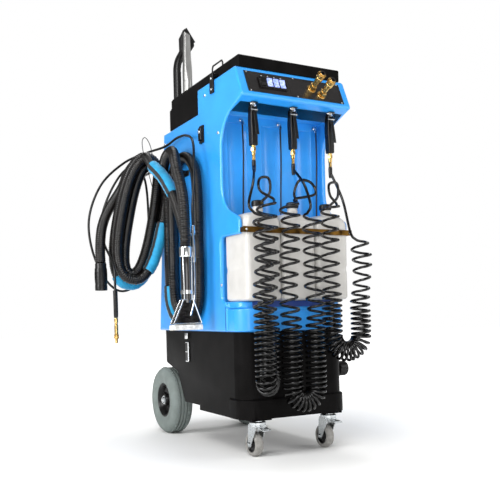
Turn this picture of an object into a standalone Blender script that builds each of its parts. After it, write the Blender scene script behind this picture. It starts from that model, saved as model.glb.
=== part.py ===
"""Upright hot-water extractor ("steam cleaner") with three chemical spray guns on coiled hoses.

The machine is a black base tank on two large rear wheels and two braked front casters, with a
moulded blue body on top. The body's front has a bay with three chemical jugs, a recess in which
three spray guns hang, and a control panel. Two vacuum-hose hanks hang on the left side.
Units are metres, +Z is up, the control panel faces -Y and the hoses are on the -X side.
"""
import math

import bmesh
import bpy
from mathutils import Matrix, Vector

# ---------------------------------------------------------------- driving dimensions
GAP = 0.0003                 # clearance left between touching solids
ROOT_SHIFT = (0.0116, -0.0122)   # puts the centre of the outline, hooks included, on the origin

BASE_HALF_W = 0.200
BASE_FRONT = -0.322
BASE_REAR = 0.358
BASE_BOTTOM = 0.125
SEAM_Z = 0.405
CORNER_R = 0.056

BODY_HALF_W = 0.208
WALL = 0.009                 # moulded wall of the body
BAY_HALF_W = 0.195
BACK_WALL_Y = -0.190
CHEEK_Y = -0.218
SHELF_Z = 0.504
ARM_BOTTOM_Z = 0.716
ARM_TOP_Z = 0.760
HEAD_BOTTOM_Z = 1.130
DECK_Z = 1.160
RIM_Z = 1.243
LID_TOP_Z = 1.282
COVER_FRONT_Y = -0.048
COVER_REAR_Y = 0.262

PANEL_TOP = Vector((0.0, -0.333, 1.236))
PANEL_FOOT = Vector((0.0, -0.374, 1.147))
PANEL_TILT = math.atan2(PANEL_TOP.y - PANEL_FOOT.y, PANEL_TOP.z - PANEL_FOOT.z)

JUG_PITCH = 0.1305
JUG_FRONT_Y = -0.360
JUG_BACK_Y = -0.204
JUG_SHOULDER_Z = 0.785
CAP_Y = -0.320
CAP_Z = 0.806
GUN_PITCH = 0.147
GUN_Y = -0.332
GUN_TOP_Z = 1.146
GUN_FOOT_Z = GUN_TOP_Z - 0.150   # lower end of the grip; the brass union hangs below it
GUN_BARB_Z = GUN_FOOT_Z - 0.048

HINGE_X = 0.2075                 # lid hinge, along Y on the right-hand rim
HINGE_Z = RIM_Z + 0.008
BAIL_X = -0.155
BAIL_Y = (-0.145, -0.065)
BAIL_PIVOT_Z = LID_TOP_Z + 0.005

REAR_WHEEL_R = 0.130
REAR_WHEEL_W = 0.085
REAR_RIM_R = 0.066
AXLE_Y = 0.3325
AXLE_R = 0.008
WHEEL_OUTER_X = 0.217

CASTER_R = 0.040
CASTER_W = 0.030
CASTER_X = 0.138
CASTER_SWIVEL_Y = -0.300
CASTER_TRAIL = 0.024

CREVICE_AT = (-0.089, 0.297)
DETAIL_AT = (-0.113, 0.343)
CUP_TOP_Z = 1.205

HOSE_R = 0.019
SOLUTION_R = 0.0045
COIL_R = 0.035
WHIP_R = 0.004


# ---------------------------------------------------------------- scene set-up
for old in list(bpy.data.objects):
    bpy.data.objects.remove(old, do_unlink=True)

PARTS = bpy.data.collections.new("steam_cleaner")
CUTTERS = bpy.data.collections.new("cutters")
bpy.context.scene.collection.children.link(PARTS)
bpy.context.scene.collection.children.link(CUTTERS)

ROOT = bpy.data.objects.new("root", None)
ROOT.location = (*ROOT_SHIFT, 0.0)
PARTS.objects.link(ROOT)

PANEL = bpy.data.objects.new("panel_frame", None)
PANEL.parent = ROOT
PANEL.location = (PANEL_TOP + PANEL_FOOT) / 2
PANEL.rotation_euler = (-PANEL_TILT, 0.0, 0.0)
PARTS.objects.link(PANEL)
bpy.context.view_layer.update()

MATERIALS = {
    "blue polyethylene": ((0.03, 0.30, 0.80), 0.35, 0.0),
    "black polyethylene": ((0.012, 0.011, 0.011), 0.5, 0.0),
    "black plastic": ((0.010, 0.010, 0.010), 0.4, 0.0),
    "natural polyethylene": ((0.80, 0.79, 0.77), 0.45, 0.0),
    "brass": ((0.60, 0.36, 0.09), 0.3, 1.0),
    "bronze strip": ((0.22, 0.14, 0.05), 0.4, 1.0),
    "zinc plate": ((0.60, 0.61, 0.60), 0.35, 1.0),
    "stainless steel": ((0.62, 0.62, 0.61), 0.25, 1.0),
    "grey rubber": ((0.26, 0.30, 0.29), 0.8, 0.0),
    "grey caster rubber": ((0.40, 0.39, 0.37), 0.7, 0.0),
    "black rubber": ((0.008, 0.008, 0.008), 0.45, 0.0),
    "black panel": ((0.05, 0.045, 0.045), 0.35, 0.0),
    "blue rocker": ((0.35, 0.40, 0.85), 0.3, 0.0),
    "black coil hose": ((0.006, 0.006, 0.006), 0.25, 0.0),
}


def material(name):
    """One Principled material for each name, made when it is first used."""
    found = bpy.data.materials.get(name)
    if found:
        return found
    colour, roughness, metallic = MATERIALS[name]
    made = bpy.data.materials.new(name)
    made.use_nodes = True
    shader = made.node_tree.nodes["Principled BSDF"]
    shader.inputs["Base Color"].default_value = (*colour, 1.0)
    shader.inputs["Roughness"].default_value = roughness
    shader.inputs["Metallic"].default_value = metallic
    return made


# ---------------------------------------------------------------- shape helpers
def add_mesh(name, mesh, look=None, parent=ROOT):
    """A mesh object in the parts' collection, or a hidden cutter when look is None."""
    obj = bpy.data.objects.new(name, mesh)
    obj.parent = parent
    if look:
        PARTS.objects.link(obj)
        mesh.materials.append(material(look))
    else:
        CUTTERS.objects.link(obj)
        obj.hide_render = True
        obj.display_type = "WIRE"
    return obj


def on_axis(obj, point):
    """Move a moving piece's origin to a point of its joint's axis; its shape stays in place."""
    obj.data.transform(Matrix.Translation(-Vector(point)))
    obj.location = point
    return obj


def mesh_from(bm, name):
    mesh = bpy.data.meshes.new(name)
    bmesh.ops.recalc_face_normals(bm, faces=bm.faces)
    bm.to_mesh(mesh)
    bm.free()
    return mesh


def block(name, low, high, look=None, corner=0.0, corners="all", edge=0.0, steps=5, parent=ROOT):
    """A box from low to high, with its upright edges rounded by corner and all edges by edge."""
    bm = bmesh.new()
    size = Vector(high) - Vector(low)
    middle = (Vector(high) + Vector(low)) / 2
    bmesh.ops.create_cube(bm, size=1.0, matrix=Matrix.Diagonal((*size, 1.0)))
    if corner:
        upright = [e for e in bm.edges if abs(e.verts[0].co.z - e.verts[1].co.z) > size.z * 0.9]
        if corners == "front":
            upright = [e for e in upright if e.verts[0].co.y < 0]
        if corners == "rear":
            upright = [e for e in upright if e.verts[0].co.y > 0]
        bmesh.ops.bevel(bm, geom=upright, offset=corner, segments=steps, profile=0.5, affect="EDGES")
    if edge:
        bmesh.ops.bevel(bm, geom=[e for e in bm.edges if e.calc_face_angle() > 0.6],
                        offset=edge, segments=2, profile=0.5, affect="EDGES")
    bmesh.ops.translate(bm, verts=bm.verts, vec=middle)
    return add_mesh(name, mesh_from(bm, name), look, parent)


AXIS_TURN = {
    "X": Matrix.Rotation(math.radians(90), 4, "Y"),
    "Y": Matrix.Rotation(math.radians(-90), 4, "X"),
    "Z": Matrix.Identity(4),
}


def rod(name, start, end, radius, look=None, segments=16, parent=ROOT):
    """A straight cylinder between two points."""
    start, end = Vector(start), Vector(end)
    along = end - start
    turn = along.to_track_quat("Z", "Y").to_matrix().to_4x4()
    bm = bmesh.new()
    bmesh.ops.create_cone(bm, cap_ends=True, segments=segments, radius1=radius, radius2=radius,
                          depth=along.length)
    bmesh.ops.transform(bm, verts=bm.verts, matrix=Matrix.Translation((start + end) / 2) @ turn)
    return add_mesh(name, mesh_from(bm, name), look, parent)


def turned(name, profile, centre, axis, look=None, steps=24, parent=ROOT, solid=True):
    """A turned piece. The profile (radius, height) runs down the outer side, top to bottom.

    A solid piece starts and ends on the axis; a ring's profile is closed on itself.
    """
    mesh = bpy.data.meshes.new(name)
    verts = [(radius, 0.0, height) for radius, height in profile]
    edges = [(i, i + 1) for i in range(len(profile) - 1)]
    if not solid:
        edges.append((len(profile) - 1, 0))
    mesh.from_pydata(verts, edges, [])
    obj = add_mesh(name, mesh, look, parent)
    obj.matrix_local = Matrix.Translation(centre) @ AXIS_TURN[axis]
    screw = obj.modifiers.new("turn", "SCREW")
    screw.steps = steps
    screw.render_steps = steps
    screw.use_merge_vertices = True
    screw.merge_threshold = 0.00005
    return obj


def arc(centre, radius, start, end, steps):
    """Points of a circular arc, angles in degrees, both ends included."""
    angles = [math.radians(start + (end - start) * i / steps) for i in range(steps + 1)]
    return [(centre[0] + radius * math.cos(a), centre[1] + radius * math.sin(a)) for a in angles]


PLANE_TURN = {
    # the outline's own x and y become the two named axes, its thickness the third
    "YZ": Matrix(((0, 0, 1, 0), (1, 0, 0, 0), (0, 1, 0, 0), (0, 0, 0, 1))),
    "XZ": Matrix(((1, 0, 0, 0), (0, 0, -1, 0), (0, 1, 0, 0), (0, 0, 0, 1))),
    "XY": Matrix.Identity(4),
}


def plate(name, outlines, plane, middle, thickness, look=None, parent=ROOT):
    """A flat outline, with holes where outlines nest, given a thickness along the third axis."""
    curve = bpy.data.curves.new(name + "_outline", "CURVE")
    curve.dimensions = "2D"
    curve.fill_mode = "BOTH"
    curve.extrude = thickness / 2
    for points in outlines:
        spline = curve.splines.new("POLY")
        spline.points.add(len(points) - 1)
        for point, (across, up) in zip(spline.points, points):
            point.co = (across, up, 0.0, 1.0)
        spline.use_cyclic_u = True
    shift = {"YZ": (middle, 0, 0), "XZ": (0, middle, 0), "XY": (0, 0, middle)}[plane]
    return curve_to_mesh(name, curve, look, parent, Matrix.Translation(shift) @ PLANE_TURN[plane])


def curve_to_mesh(name, curve, look, parent, place=Matrix.Identity(4)):
    """Turn a curve's evaluated shape into a welded mesh object and remove the curve."""
    holder = bpy.data.objects.new(name + "_curve", curve)
    PARTS.objects.link(holder)
    bpy.context.view_layer.update()
    seen = holder.evaluated_get(bpy.context.evaluated_depsgraph_get())
    mesh = bpy.data.meshes.new_from_object(seen)
    mesh.transform(place)
    bm = bmesh.new()
    bm.from_mesh(mesh)
    bmesh.ops.remove_doubles(bm, verts=bm.verts, dist=0.00002)
    bpy.data.objects.remove(holder, do_unlink=True)
    return add_mesh(name, mesh_from(bm, name), look, parent)


def smooth_path(points, spacing):
    """Evenly spaced points on a Catmull-Rom curve through the given points."""
    points = [Vector(p) for p in points]
    ends = [points[0] * 2 - points[1]] + points + [points[-1] * 2 - points[-2]]
    dense = []
    for a, b, c, d in zip(ends, ends[1:], ends[2:], ends[3:]):
        for i in range(20):
            t = i / 20
            dense.append(0.5 * (2 * b + (c - a) * t + (2 * a - 5 * b + 4 * c - d) * t * t
                                + (3 * b - a - 3 * c + d) * t ** 3))
    dense.append(points[-1])
    lengths = [0.0]
    for a, b in zip(dense, dense[1:]):
        lengths.append(lengths[-1] + (b - a).length)
    count = max(2, round(lengths[-1] / spacing))
    path = []
    k = 0
    for i in range(count + 1):
        wanted = lengths[-1] * i / count
        while k < len(dense) - 2 and lengths[k + 1] < wanted:
            k += 1
        share = (wanted - lengths[k]) / max(lengths[k + 1] - lengths[k], 1e-9)
        path.append(dense[k].lerp(dense[k + 1], min(share, 1.0)))
    return path


def tube(name, points, radius, look, spacing=None, parent=ROOT, resolution=2):
    """A round tube along a smooth path, with flat filled ends."""
    curve = bpy.data.curves.new(name + "_path", "CURVE")
    curve.dimensions = "3D"
    curve.bevel_depth = radius
    curve.bevel_resolution = resolution
    curve.use_fill_caps = True
    path = smooth_path(points, spacing) if spacing else [Vector(p) for p in points]
    for end, inner, guide in ((0, 1, 1), (-1, -2, -2)):
        outward = (Vector(points[guide]) - Vector(points[end])).normalized()
        path[inner] = path[end] + outward * (path[inner] - path[end]).length
    spline = curve.splines.new("POLY")
    spline.points.add(len(path) - 1)
    for point, place in zip(spline.points, path):
        point.co = (*place, 1.0)
    return curve_to_mesh(name, curve, look, parent)


def combine(target, other, operation="DIFFERENCE"):
    """Apply one Boolean to the target; the other object stays as a hidden cutter."""
    step = target.modifiers.new(other.name, "BOOLEAN")
    step.operation = operation
    step.solver = "EXACT"
    step.object = other
    return target


def joined(target, *others):
    for other in others:
        combine(target, other, "UNION")
    return target


def cut(target, *others):
    for other in others:
        combine(target, other, "DIFFERENCE")
    return target


# ---------------------------------------------------------------- base tank
def make_base():
    well_inner_x = 0.118
    floor_z = BASE_BOTTOM + 0.025
    base = block("base_tank", (-BASE_HALF_W, BASE_FRONT, BASE_BOTTOM),
                 (BASE_HALF_W, BASE_REAR, SEAM_Z), "black polyethylene", CORNER_R)
    bumper = block("bumper", (-BASE_HALF_W - 0.004, BASE_FRONT - 0.011, BASE_BOTTOM + 0.0005),
                   (BASE_HALF_W + 0.004, BASE_FRONT + 0.09, BASE_BOTTOM + 0.063),
                   corner=CORNER_R + 0.002, corners="front")
    joined(base, bumper)
    well = [(0.44, -0.05), (0.44, 0.283), (0.318, 0.283), (0.204, 0.252), (0.137, 0.143), (0.137, -0.05)]
    for side in (-1, 1):
        cut(base, plate(f"wheel_well_{side}", [well], "YZ", side * (well_inner_x + 0.15), 0.30))
    cut(base, block("rear_step", (-0.3, 0.009, 0.0), (0.3, 0.5, 0.142)))
    cut(base, block("upper_hollow", (-0.192, BASE_FRONT + 0.008, 0.292), (0.192, BASE_REAR - 0.008, 0.5),
                    corner=CORNER_R - 0.008))
    cut(base, block("lower_hollow", (-0.1915, BASE_FRONT + 0.0085, floor_z), (0.1915, 0.126, 0.30),
                    corner=CORNER_R - 0.009))
    for side in (-1, 1):
        x = side * CASTER_X
        joined(base, block(f"caster_plate_{side}", (x - 0.036, CASTER_SWIVEL_Y - 0.030, BASE_BOTTOM - 0.004),
                           (x + 0.036, CASTER_SWIVEL_Y + 0.042, BASE_BOTTOM + 0.003)))
        lug = block(f"axle_lug_{side}", (side * 0.088 - 0.010, AXLE_Y - 0.020, 0.112),
                    (side * 0.088 + 0.010, AXLE_Y + 0.020, 0.146))
        joined(base, lug)
    cut(base, rod("axle_hole", (-0.3, AXLE_Y, REAR_WHEEL_R), (0.3, AXLE_Y, REAR_WHEEL_R), AXLE_R + GAP))
    return base


# ---------------------------------------------------------------- blue body
def cheek_outline():
    """Side view of the body (Y, Z): cheeks, jug window and head, from the rear foot upwards."""
    foot = SEAM_Z + GAP
    points = [(0.356, foot), (0.268, DECK_Z), (COVER_FRONT_Y, DECK_Z), (COVER_FRONT_Y, RIM_Z - GAP)]
    points += [(PANEL_TOP.y + 0.008, RIM_Z - GAP), (PANEL_TOP.y, PANEL_TOP.z)]
    points += [(PANEL_FOOT.y, PANEL_FOOT.z), (PANEL_FOOT.y + 0.004, PANEL_FOOT.z - 0.006)]
    points += arc((CHEEK_Y - 0.110, 1.010), 0.110, 68, 0, 6)
    points += arc((CHEEK_Y - 0.090, 0.878), 0.090, 0, -62, 5)
    points += [(JUG_FRONT_Y + 0.030, ARM_TOP_Z + 0.010), (JUG_FRONT_Y + 0.022, ARM_TOP_Z)]
    points += [(JUG_FRONT_Y + 0.022, ARM_BOTTOM_Z + 0.004), (JUG_FRONT_Y + 0.026, ARM_BOTTOM_Z)]
    points += arc((JUG_BACK_Y - 0.016, ARM_BOTTOM_Z - 0.020), 0.020, 90, 0, 4)
    points += arc((JUG_BACK_Y - 0.016, SHELF_Z + 0.020), 0.020, 0, -90, 4)
    points += [(JUG_BACK_Y - 0.030, SHELF_Z), (JUG_BACK_Y - 0.030, foot)]
    return points


def make_body():
    foot = SEAM_Z + GAP
    body = plate("body_shell", [cheek_outline()], "YZ", 0.0, 2 * BODY_HALF_W, "blue polyethylene")
    skirt = block("skirt", (-BODY_HALF_W + 0.003, BASE_FRONT - 0.010, foot),
                  (BODY_HALF_W - 0.003, -0.10, SHELF_Z - 0.022), corner=CORNER_R, corners="front")
    shelf = block("shelf", (-BODY_HALF_W + 0.010, BASE_FRONT + 0.002, SHELF_Z - 0.03),
                  (BODY_HALF_W - 0.010, -0.12, SHELF_Z), corner=CORNER_R - 0.01, corners="front")
    joined(body, skirt, shelf)
    cut(body, block("bay", (-BAY_HALF_W, -0.6, SHELF_Z + 0.00005), (BAY_HALF_W, BACK_WALL_Y, HEAD_BOTTOM_Z)))
    scallop_r = 0.064
    for i in (-1, 0, 1):
        x = i * JUG_PITCH
        y = BACK_WALL_Y + 0.013 - scallop_r
        cut(body, rod(f"scallop_{i}", (x, y, SHELF_Z + 0.02), (x, y, 1.105), scallop_r, segments=32))
    cut(body, block("head_hollow", (-0.190, -0.300, 1.150), (0.190, 0.235, 1.30)))
    tank = [(-0.163, 0.488), (0.339, 0.488), (0.258, 1.165), (-0.163, 1.165)]
    cut(body, plate("tank_hollow", [tank], "YZ", 0.0, 2 * (BODY_HALF_W - WALL)))
    cut(body, block("lower_hollow_body", (-0.190, BASE_FRONT + 0.004, 0.39), (0.190, 0.33, 0.478),
                    corner=CORNER_R - 0.012))
    for i in (-1, 0, 1):
        x = i * GUN_PITCH
        cut(body, rod(f"gun_hole_{i}", (x, GUN_Y, 1.10), (x, GUN_Y, GUN_TOP_Z + 0.003), 0.0115))
    cut(body, block("switch_pocket", (-0.140, -0.004, -0.022), (-0.030, 0.022, 0.022), parent=PANEL))
    return body


# ---------------------------------------------------------------- rear cover, lid and their catches
def make_top():
    cover = block("rear_cover", (-0.201, COVER_FRONT_Y + GAP, DECK_Z + GAP),
                  (0.201, COVER_REAR_Y, RIM_Z - GAP), "black polyethylene", 0.055, "rear")
    cut(cover, block("cover_hollow", (-0.194, COVER_FRONT_Y + 0.008, 1.10),
                     (0.194, COVER_REAR_Y - 0.007, 1.30), corner=0.048, corners="rear"))
    add_tool_cups(cover)
    lid = block("lid", (-0.193, -0.329, RIM_Z), (0.193, COVER_REAR_Y, LID_TOP_Z), "black polyethylene",
                0.055, "rear", edge=0.003)
    cut(lid, block("lid_hollow", (-0.187, -0.323, 1.20), (0.187, COVER_REAR_Y - 0.006, LID_TOP_Z - 0.006),
                   corner=0.048, corners="rear"))
    for y in (-0.22, 0.12):
        barrel = rod(f"lid_barrel_{y}", (HINGE_X, y - 0.03, HINGE_Z), (HINGE_X, y + 0.03, HINGE_Z), 0.0055,
                     segments=12)
        leaf = block(f"lid_leaf_{y}", (0.188, y - 0.025, HINGE_Z - 0.0025),
                     (HINGE_X, y + 0.025, HINGE_Z + 0.0025))
        joined(lid, barrel, leaf)
    bail_r = 0.003
    for foot_y, outward in zip(BAIL_Y, (-1, 1)):
        near, far = sorted((foot_y + outward * (bail_r + GAP), foot_y + outward * (bail_r + 0.004)))
        joined(lid, block(f"bail_lug_{outward}", (BAIL_X - 0.005, near, LID_TOP_Z - 0.002),
                          (BAIL_X + 0.005, far, BAIL_PIVOT_Z + 0.005)))
    on_axis(lid, (HINGE_X, 0.0, HINGE_Z))
    front_y, back_y = BAIL_Y
    foot_z = BAIL_PIVOT_Z - 0.0035
    route = [(BAIL_X, front_y, foot_z)]
    route += [(BAIL_X, front_y, LID_TOP_Z + 0.036), (BAIL_X, front_y + 0.006, LID_TOP_Z + 0.045)]
    route += [(BAIL_X, back_y - 0.006, LID_TOP_Z + 0.045), (BAIL_X, back_y, LID_TOP_Z + 0.036)]
    route += [(BAIL_X, back_y, foot_z)]
    bail = tube("lid_bail", route, bail_r, "black plastic")
    on_axis(bail, (BAIL_X, (front_y + back_y) / 2, BAIL_PIVOT_Z))
    latch_foot = (-BODY_HALF_W - GAP, -0.173, 1.198)
    latch = block("lid_latch", (-0.2145, -0.186, 1.198), (-BODY_HALF_W - GAP, -0.160, 1.262),
                  "black plastic")
    joined(latch, block("lid_latch_hook", (-0.2140, -0.184, 1.252), (-0.1935, -0.162, 1.2615)))
    on_axis(latch, latch_foot)


def make_base_latches():
    for side, label in ((-1, "left"), (1, "right")):
        inner = side * (BASE_HALF_W + GAP)
        outer = side * (BASE_HALF_W + 0.0085)
        low = (min(inner, outer), 0.083, 0.292)
        high = (max(inner, outer), 0.107, 0.366)
        latch = block(f"base_latch_{label}", low, high, "stainless steel", edge=0.002)
        on_axis(latch, (inner, 0.095, 0.292))


# ---------------------------------------------------------------- control panel
SWITCH_X = [-0.1205 + 0.0235 * i for i in range(4)]
COUPLERS = [(0.062, 0.002), (0.094, -0.019)]


def make_panel():
    """Pieces on the sloping panel; in its frame -Y is out and Z is up the slope."""
    panel = block("control_panel", (-0.181, -0.0023, -0.040), (0.181, -GAP, 0.040), "black panel",
                  parent=PANEL)
    joined(panel, block("bezel", (-0.1345, -0.0065, -0.020), (-0.0365, -0.0013, 0.020), parent=PANEL))
    for i, x in enumerate(SWITCH_X):
        cut(panel, block(f"switch_window_{i}", (x - 0.0100, -0.02, -0.0165), (x + 0.0100, 0.02, 0.0165),
                         parent=PANEL))
    for i, (x, up) in enumerate(COUPLERS):
        tail = rod(f"coupler_tail_{i}", (x, -0.001, up), (x, -0.044, up), 0.0085, parent=PANEL)
        body = rod(f"coupler_body_{i}", (x, -0.030, up), (x, -0.080, up), 0.0094, parent=PANEL)
        joined(panel, tail, body)
        cut(panel, rod(f"coupler_bore_{i}", (x, -0.060, up), (x, -0.090, up), 0.0055, parent=PANEL))
        ring = [(0.0130, 0.012), (0.0130, 0.004), (0.0115, 0.002), (0.0135, -0.002), (0.0135, -0.013),
                (0.0100, -0.013), (0.0100, 0.012)]
        turned(f"coupler_sleeve_{i + 1}", ring, (x, -0.063, up), "Y", "brass", 16, PANEL, solid=False)


def make_rockers():
    """Each rocker's outline is a shallow V with its upper half proud, its pivot on its origin."""
    half = 0.0150
    outline = [(-0.0066, -half), (-0.0050, 0.0), (-0.0090, half), (0.0040, half), (0.0060, 0.0),
               (0.0040, -half)]
    for i, x in enumerate(SWITCH_X):
        look = "black plastic" if i == 0 else "blue rocker"
        rocker = plate(f"rocker_{i + 1}", [outline], "YZ", 0.0, 0.0185, look, PANEL)
        rocker.location = (x, -0.002, 0.0)


# ---------------------------------------------------------------- jugs, caps, rail and supply lines
def make_jugs():
    width = JUG_PITCH - 0.0015
    for i in range(3):
        x = (i - 1) * JUG_PITCH
        jug = block(f"jug_{i + 1}", (x - width / 2, JUG_FRONT_Y, SHELF_Z + GAP),
                    (x + width / 2, JUG_BACK_Y, JUG_SHOULDER_Z), "natural polyethylene", 0.022,
                    edge=0.010, steps=3)
        joined(jug, rod(f"jug_neck_{i}", (x, CAP_Y, JUG_SHOULDER_Z - 0.02), (x, CAP_Y, CAP_Z - GAP), 0.0165))
        cap = [(0.0, 0.019), (0.0155, 0.019), (0.0205, 0.016), (0.0205, 0.0), (0.0, 0.0)]
        turned(f"jug_cap_{i + 1}", cap, (x, CAP_Y, CAP_Z), "Z", "black plastic", 20)
    rail = block("jug_rail", (-BODY_HALF_W + 0.002, JUG_FRONT_Y - 0.0055, ARM_BOTTOM_Z + 0.002),
                 (BODY_HALF_W - 0.002, JUG_FRONT_Y - GAP, ARM_BOTTOM_Z + 0.020), "bronze strip")
    for side in (-1, 1):
        x = side * (BODY_HALF_W - 0.0065)
        joined(rail, block(f"rail_end_{side}", (x - 0.004, JUG_FRONT_Y - 0.005, ARM_BOTTOM_Z + 0.003),
                           (x + 0.004, JUG_FRONT_Y + 0.022 - GAP, ARM_BOTTOM_Z + 0.019)))


def make_supply_lines():
    """A thin tube from an elbow on the back wall down to behind each jug."""
    for i in range(3):
        x = (i - 1) * GUN_PITCH + 0.030
        wall_y = BACK_WALL_Y - GAP
        route = [(x, wall_y - 0.014, 1.108), (x + 0.003, wall_y - 0.012, 1.00),
                 (x + 0.001, wall_y - 0.009, 0.88), (x, wall_y - 0.008, 0.812)]
        line = tube(f"supply_line_{i + 1}", route, 0.0025, "black rubber", 0.02, resolution=1)
        elbow = block(f"supply_elbow_{i}", (x - 0.005, wall_y - 0.019, 1.104), (x + 0.005, wall_y, 1.122))
        joined(line, elbow)


# ---------------------------------------------------------------- spray guns
GUN_X = [i * GUN_PITCH for i in (-1, 0, 1)]


def gun_outline():
    """Side view of a gun hanging nozzle up: across is forward (-) and back (+), up is Z."""
    return [(-0.012, 0.000), (0.012, 0.000), (0.014, 0.045), (0.016, 0.085), (0.013, 0.110), (0.006, 0.132),
            (-0.008, 0.132), (-0.011, 0.112), (-0.010, 0.070), (-0.013, 0.040)]


def make_guns():
    pivot = (-0.0145, 0.106)
    lever = [(-0.0125, 0.108), (-0.0165, 0.104), (-0.0255, 0.060), (-0.0305, 0.030), (-0.0275, 0.030),
             (-0.0215, 0.060)]
    for i, x in enumerate(GUN_X):
        outline = [(GUN_Y + across, GUN_FOOT_Z + up) for across, up in gun_outline()]
        gun = plate(f"spray_gun_{i + 1}", [outline], "YZ", x, 0.023, "black plastic")
        nozzle = rod(f"gun_nozzle_{i}", (x, GUN_Y, GUN_FOOT_Z + 0.11), (x, GUN_Y, GUN_TOP_Z + 0.002), 0.0075)
        union = rod(f"gun_union_{i}", (x, GUN_Y, GUN_FOOT_Z + 0.01), (x, GUN_Y, GUN_FOOT_Z - 0.030), 0.0068)
        barb = rod(f"gun_barb_{i}", (x, GUN_Y, GUN_FOOT_Z - 0.020), (x, GUN_Y, GUN_BARB_Z), 0.0050)
        joined(gun, nozzle, union, barb)
        edge = [(GUN_Y + across, GUN_FOOT_Z + up) for across, up in lever]
        trigger = plate(f"trigger_{i + 1}", [edge], "YZ", x, 0.012, "black plastic")
        on_axis(trigger, (x, GUN_Y + pivot[0], GUN_FOOT_Z + pivot[1]))


# ---------------------------------------------------------------- coiled chemical hoses
COILS = [
    # gun, jug-side leg (x, y), gun-side leg (x, y), lowest centre z, gun-side top z, jug-side top z
    (0, (-0.146, -0.404), (-0.193, -0.459), 0.280, 0.770, 0.750),
    (1, (-0.072, -0.415), (0.005, -0.432), 0.224, 0.775, 0.750),
    (2, (0.087, -0.410), (0.186, -0.430), 0.384, 0.700, 0.750),
]


def make_coil_hoses():
    """Each coiled hose is one thick U-shaped tube of the coil's outer size and a straight whip."""
    for number, near, far, low, top, near_top in COILS:
        near_v, far_v = Vector((*near, 0)), Vector((*far, 0))
        middle = (near_v + far_v) / 2
        half = (far_v - near_v) / 2
        rise = Vector((0, 0, 1))
        path = [near_v + rise * z for z in (near_top, (near_top + low) / 2)]
        for angle in [math.radians(a) for a in range(0, 181, 30)]:
            drop = rise * (low - half.length * math.sin(angle))
            path.append(middle - half * math.cos(angle) + drop)
        path += [far_v + rise * z for z in ((top + low) / 2, top)]
        tube(f"coil_hose_{number + 1}", path, COIL_R, "black coil hose")
        end = far_v + Vector((0.0, 0.0, top + GAP))
        start = Vector((GUN_X[number], GUN_Y, GUN_BARB_Z - GAP))
        bow = start.lerp(end, 0.5) + Vector((0.0, -0.012, 0.0))
        route = [start, start - rise * 0.012, bow, end + rise * 0.012, end]
        tube(f"hose_whip_{number + 1}", route, WHIP_R, "black coil hose", 0.012, resolution=2)


# ---------------------------------------------------------------- rear wheels and axle
def make_rear_wheels():
    rod("rear_axle", (-0.2125, AXLE_Y, REAR_WHEEL_R), (0.2125, AXLE_Y, REAR_WHEEL_R), AXLE_R,
        "zinc plate", 20)
    half = REAR_WHEEL_W / 2
    tread = [(REAR_WHEEL_R - 0.026, half), (REAR_WHEEL_R - 0.006, half - 0.009),
             (REAR_WHEEL_R, half - 0.020), (REAR_WHEEL_R, -half + 0.020),
             (REAR_WHEEL_R - 0.006, -half + 0.009), (REAR_WHEEL_R - 0.026, -half),
             (REAR_RIM_R + GAP, -half + 0.008), (REAR_RIM_R + GAP, half - 0.008)]
    web = 0.008
    hub_r = 0.022
    rim = [(REAR_RIM_R, half - 0.009), (REAR_RIM_R, -half + 0.009), (REAR_RIM_R - 0.006, -half + 0.009),
           (REAR_RIM_R - 0.008, -web), (hub_r, -web), (hub_r, -half + 0.004), (AXLE_R + GAP, -half + 0.004),
           (AXLE_R + GAP, half - 0.012), (hub_r, half - 0.012), (hub_r, web), (REAR_RIM_R - 0.008, web),
           (REAR_RIM_R - 0.006, half - 0.009)]
    for side, label in ((-1, "left"), (1, "right")):
        centre = (side * (WHEEL_OUTER_X - half), AXLE_Y, REAR_WHEEL_R)
        turned(f"rear_tyre_{label}", tread, centre, "X", "grey rubber", 32, solid=False)
        turned(f"rear_rim_{label}", rim, centre, "X", "black plastic", 24, solid=False)


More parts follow.
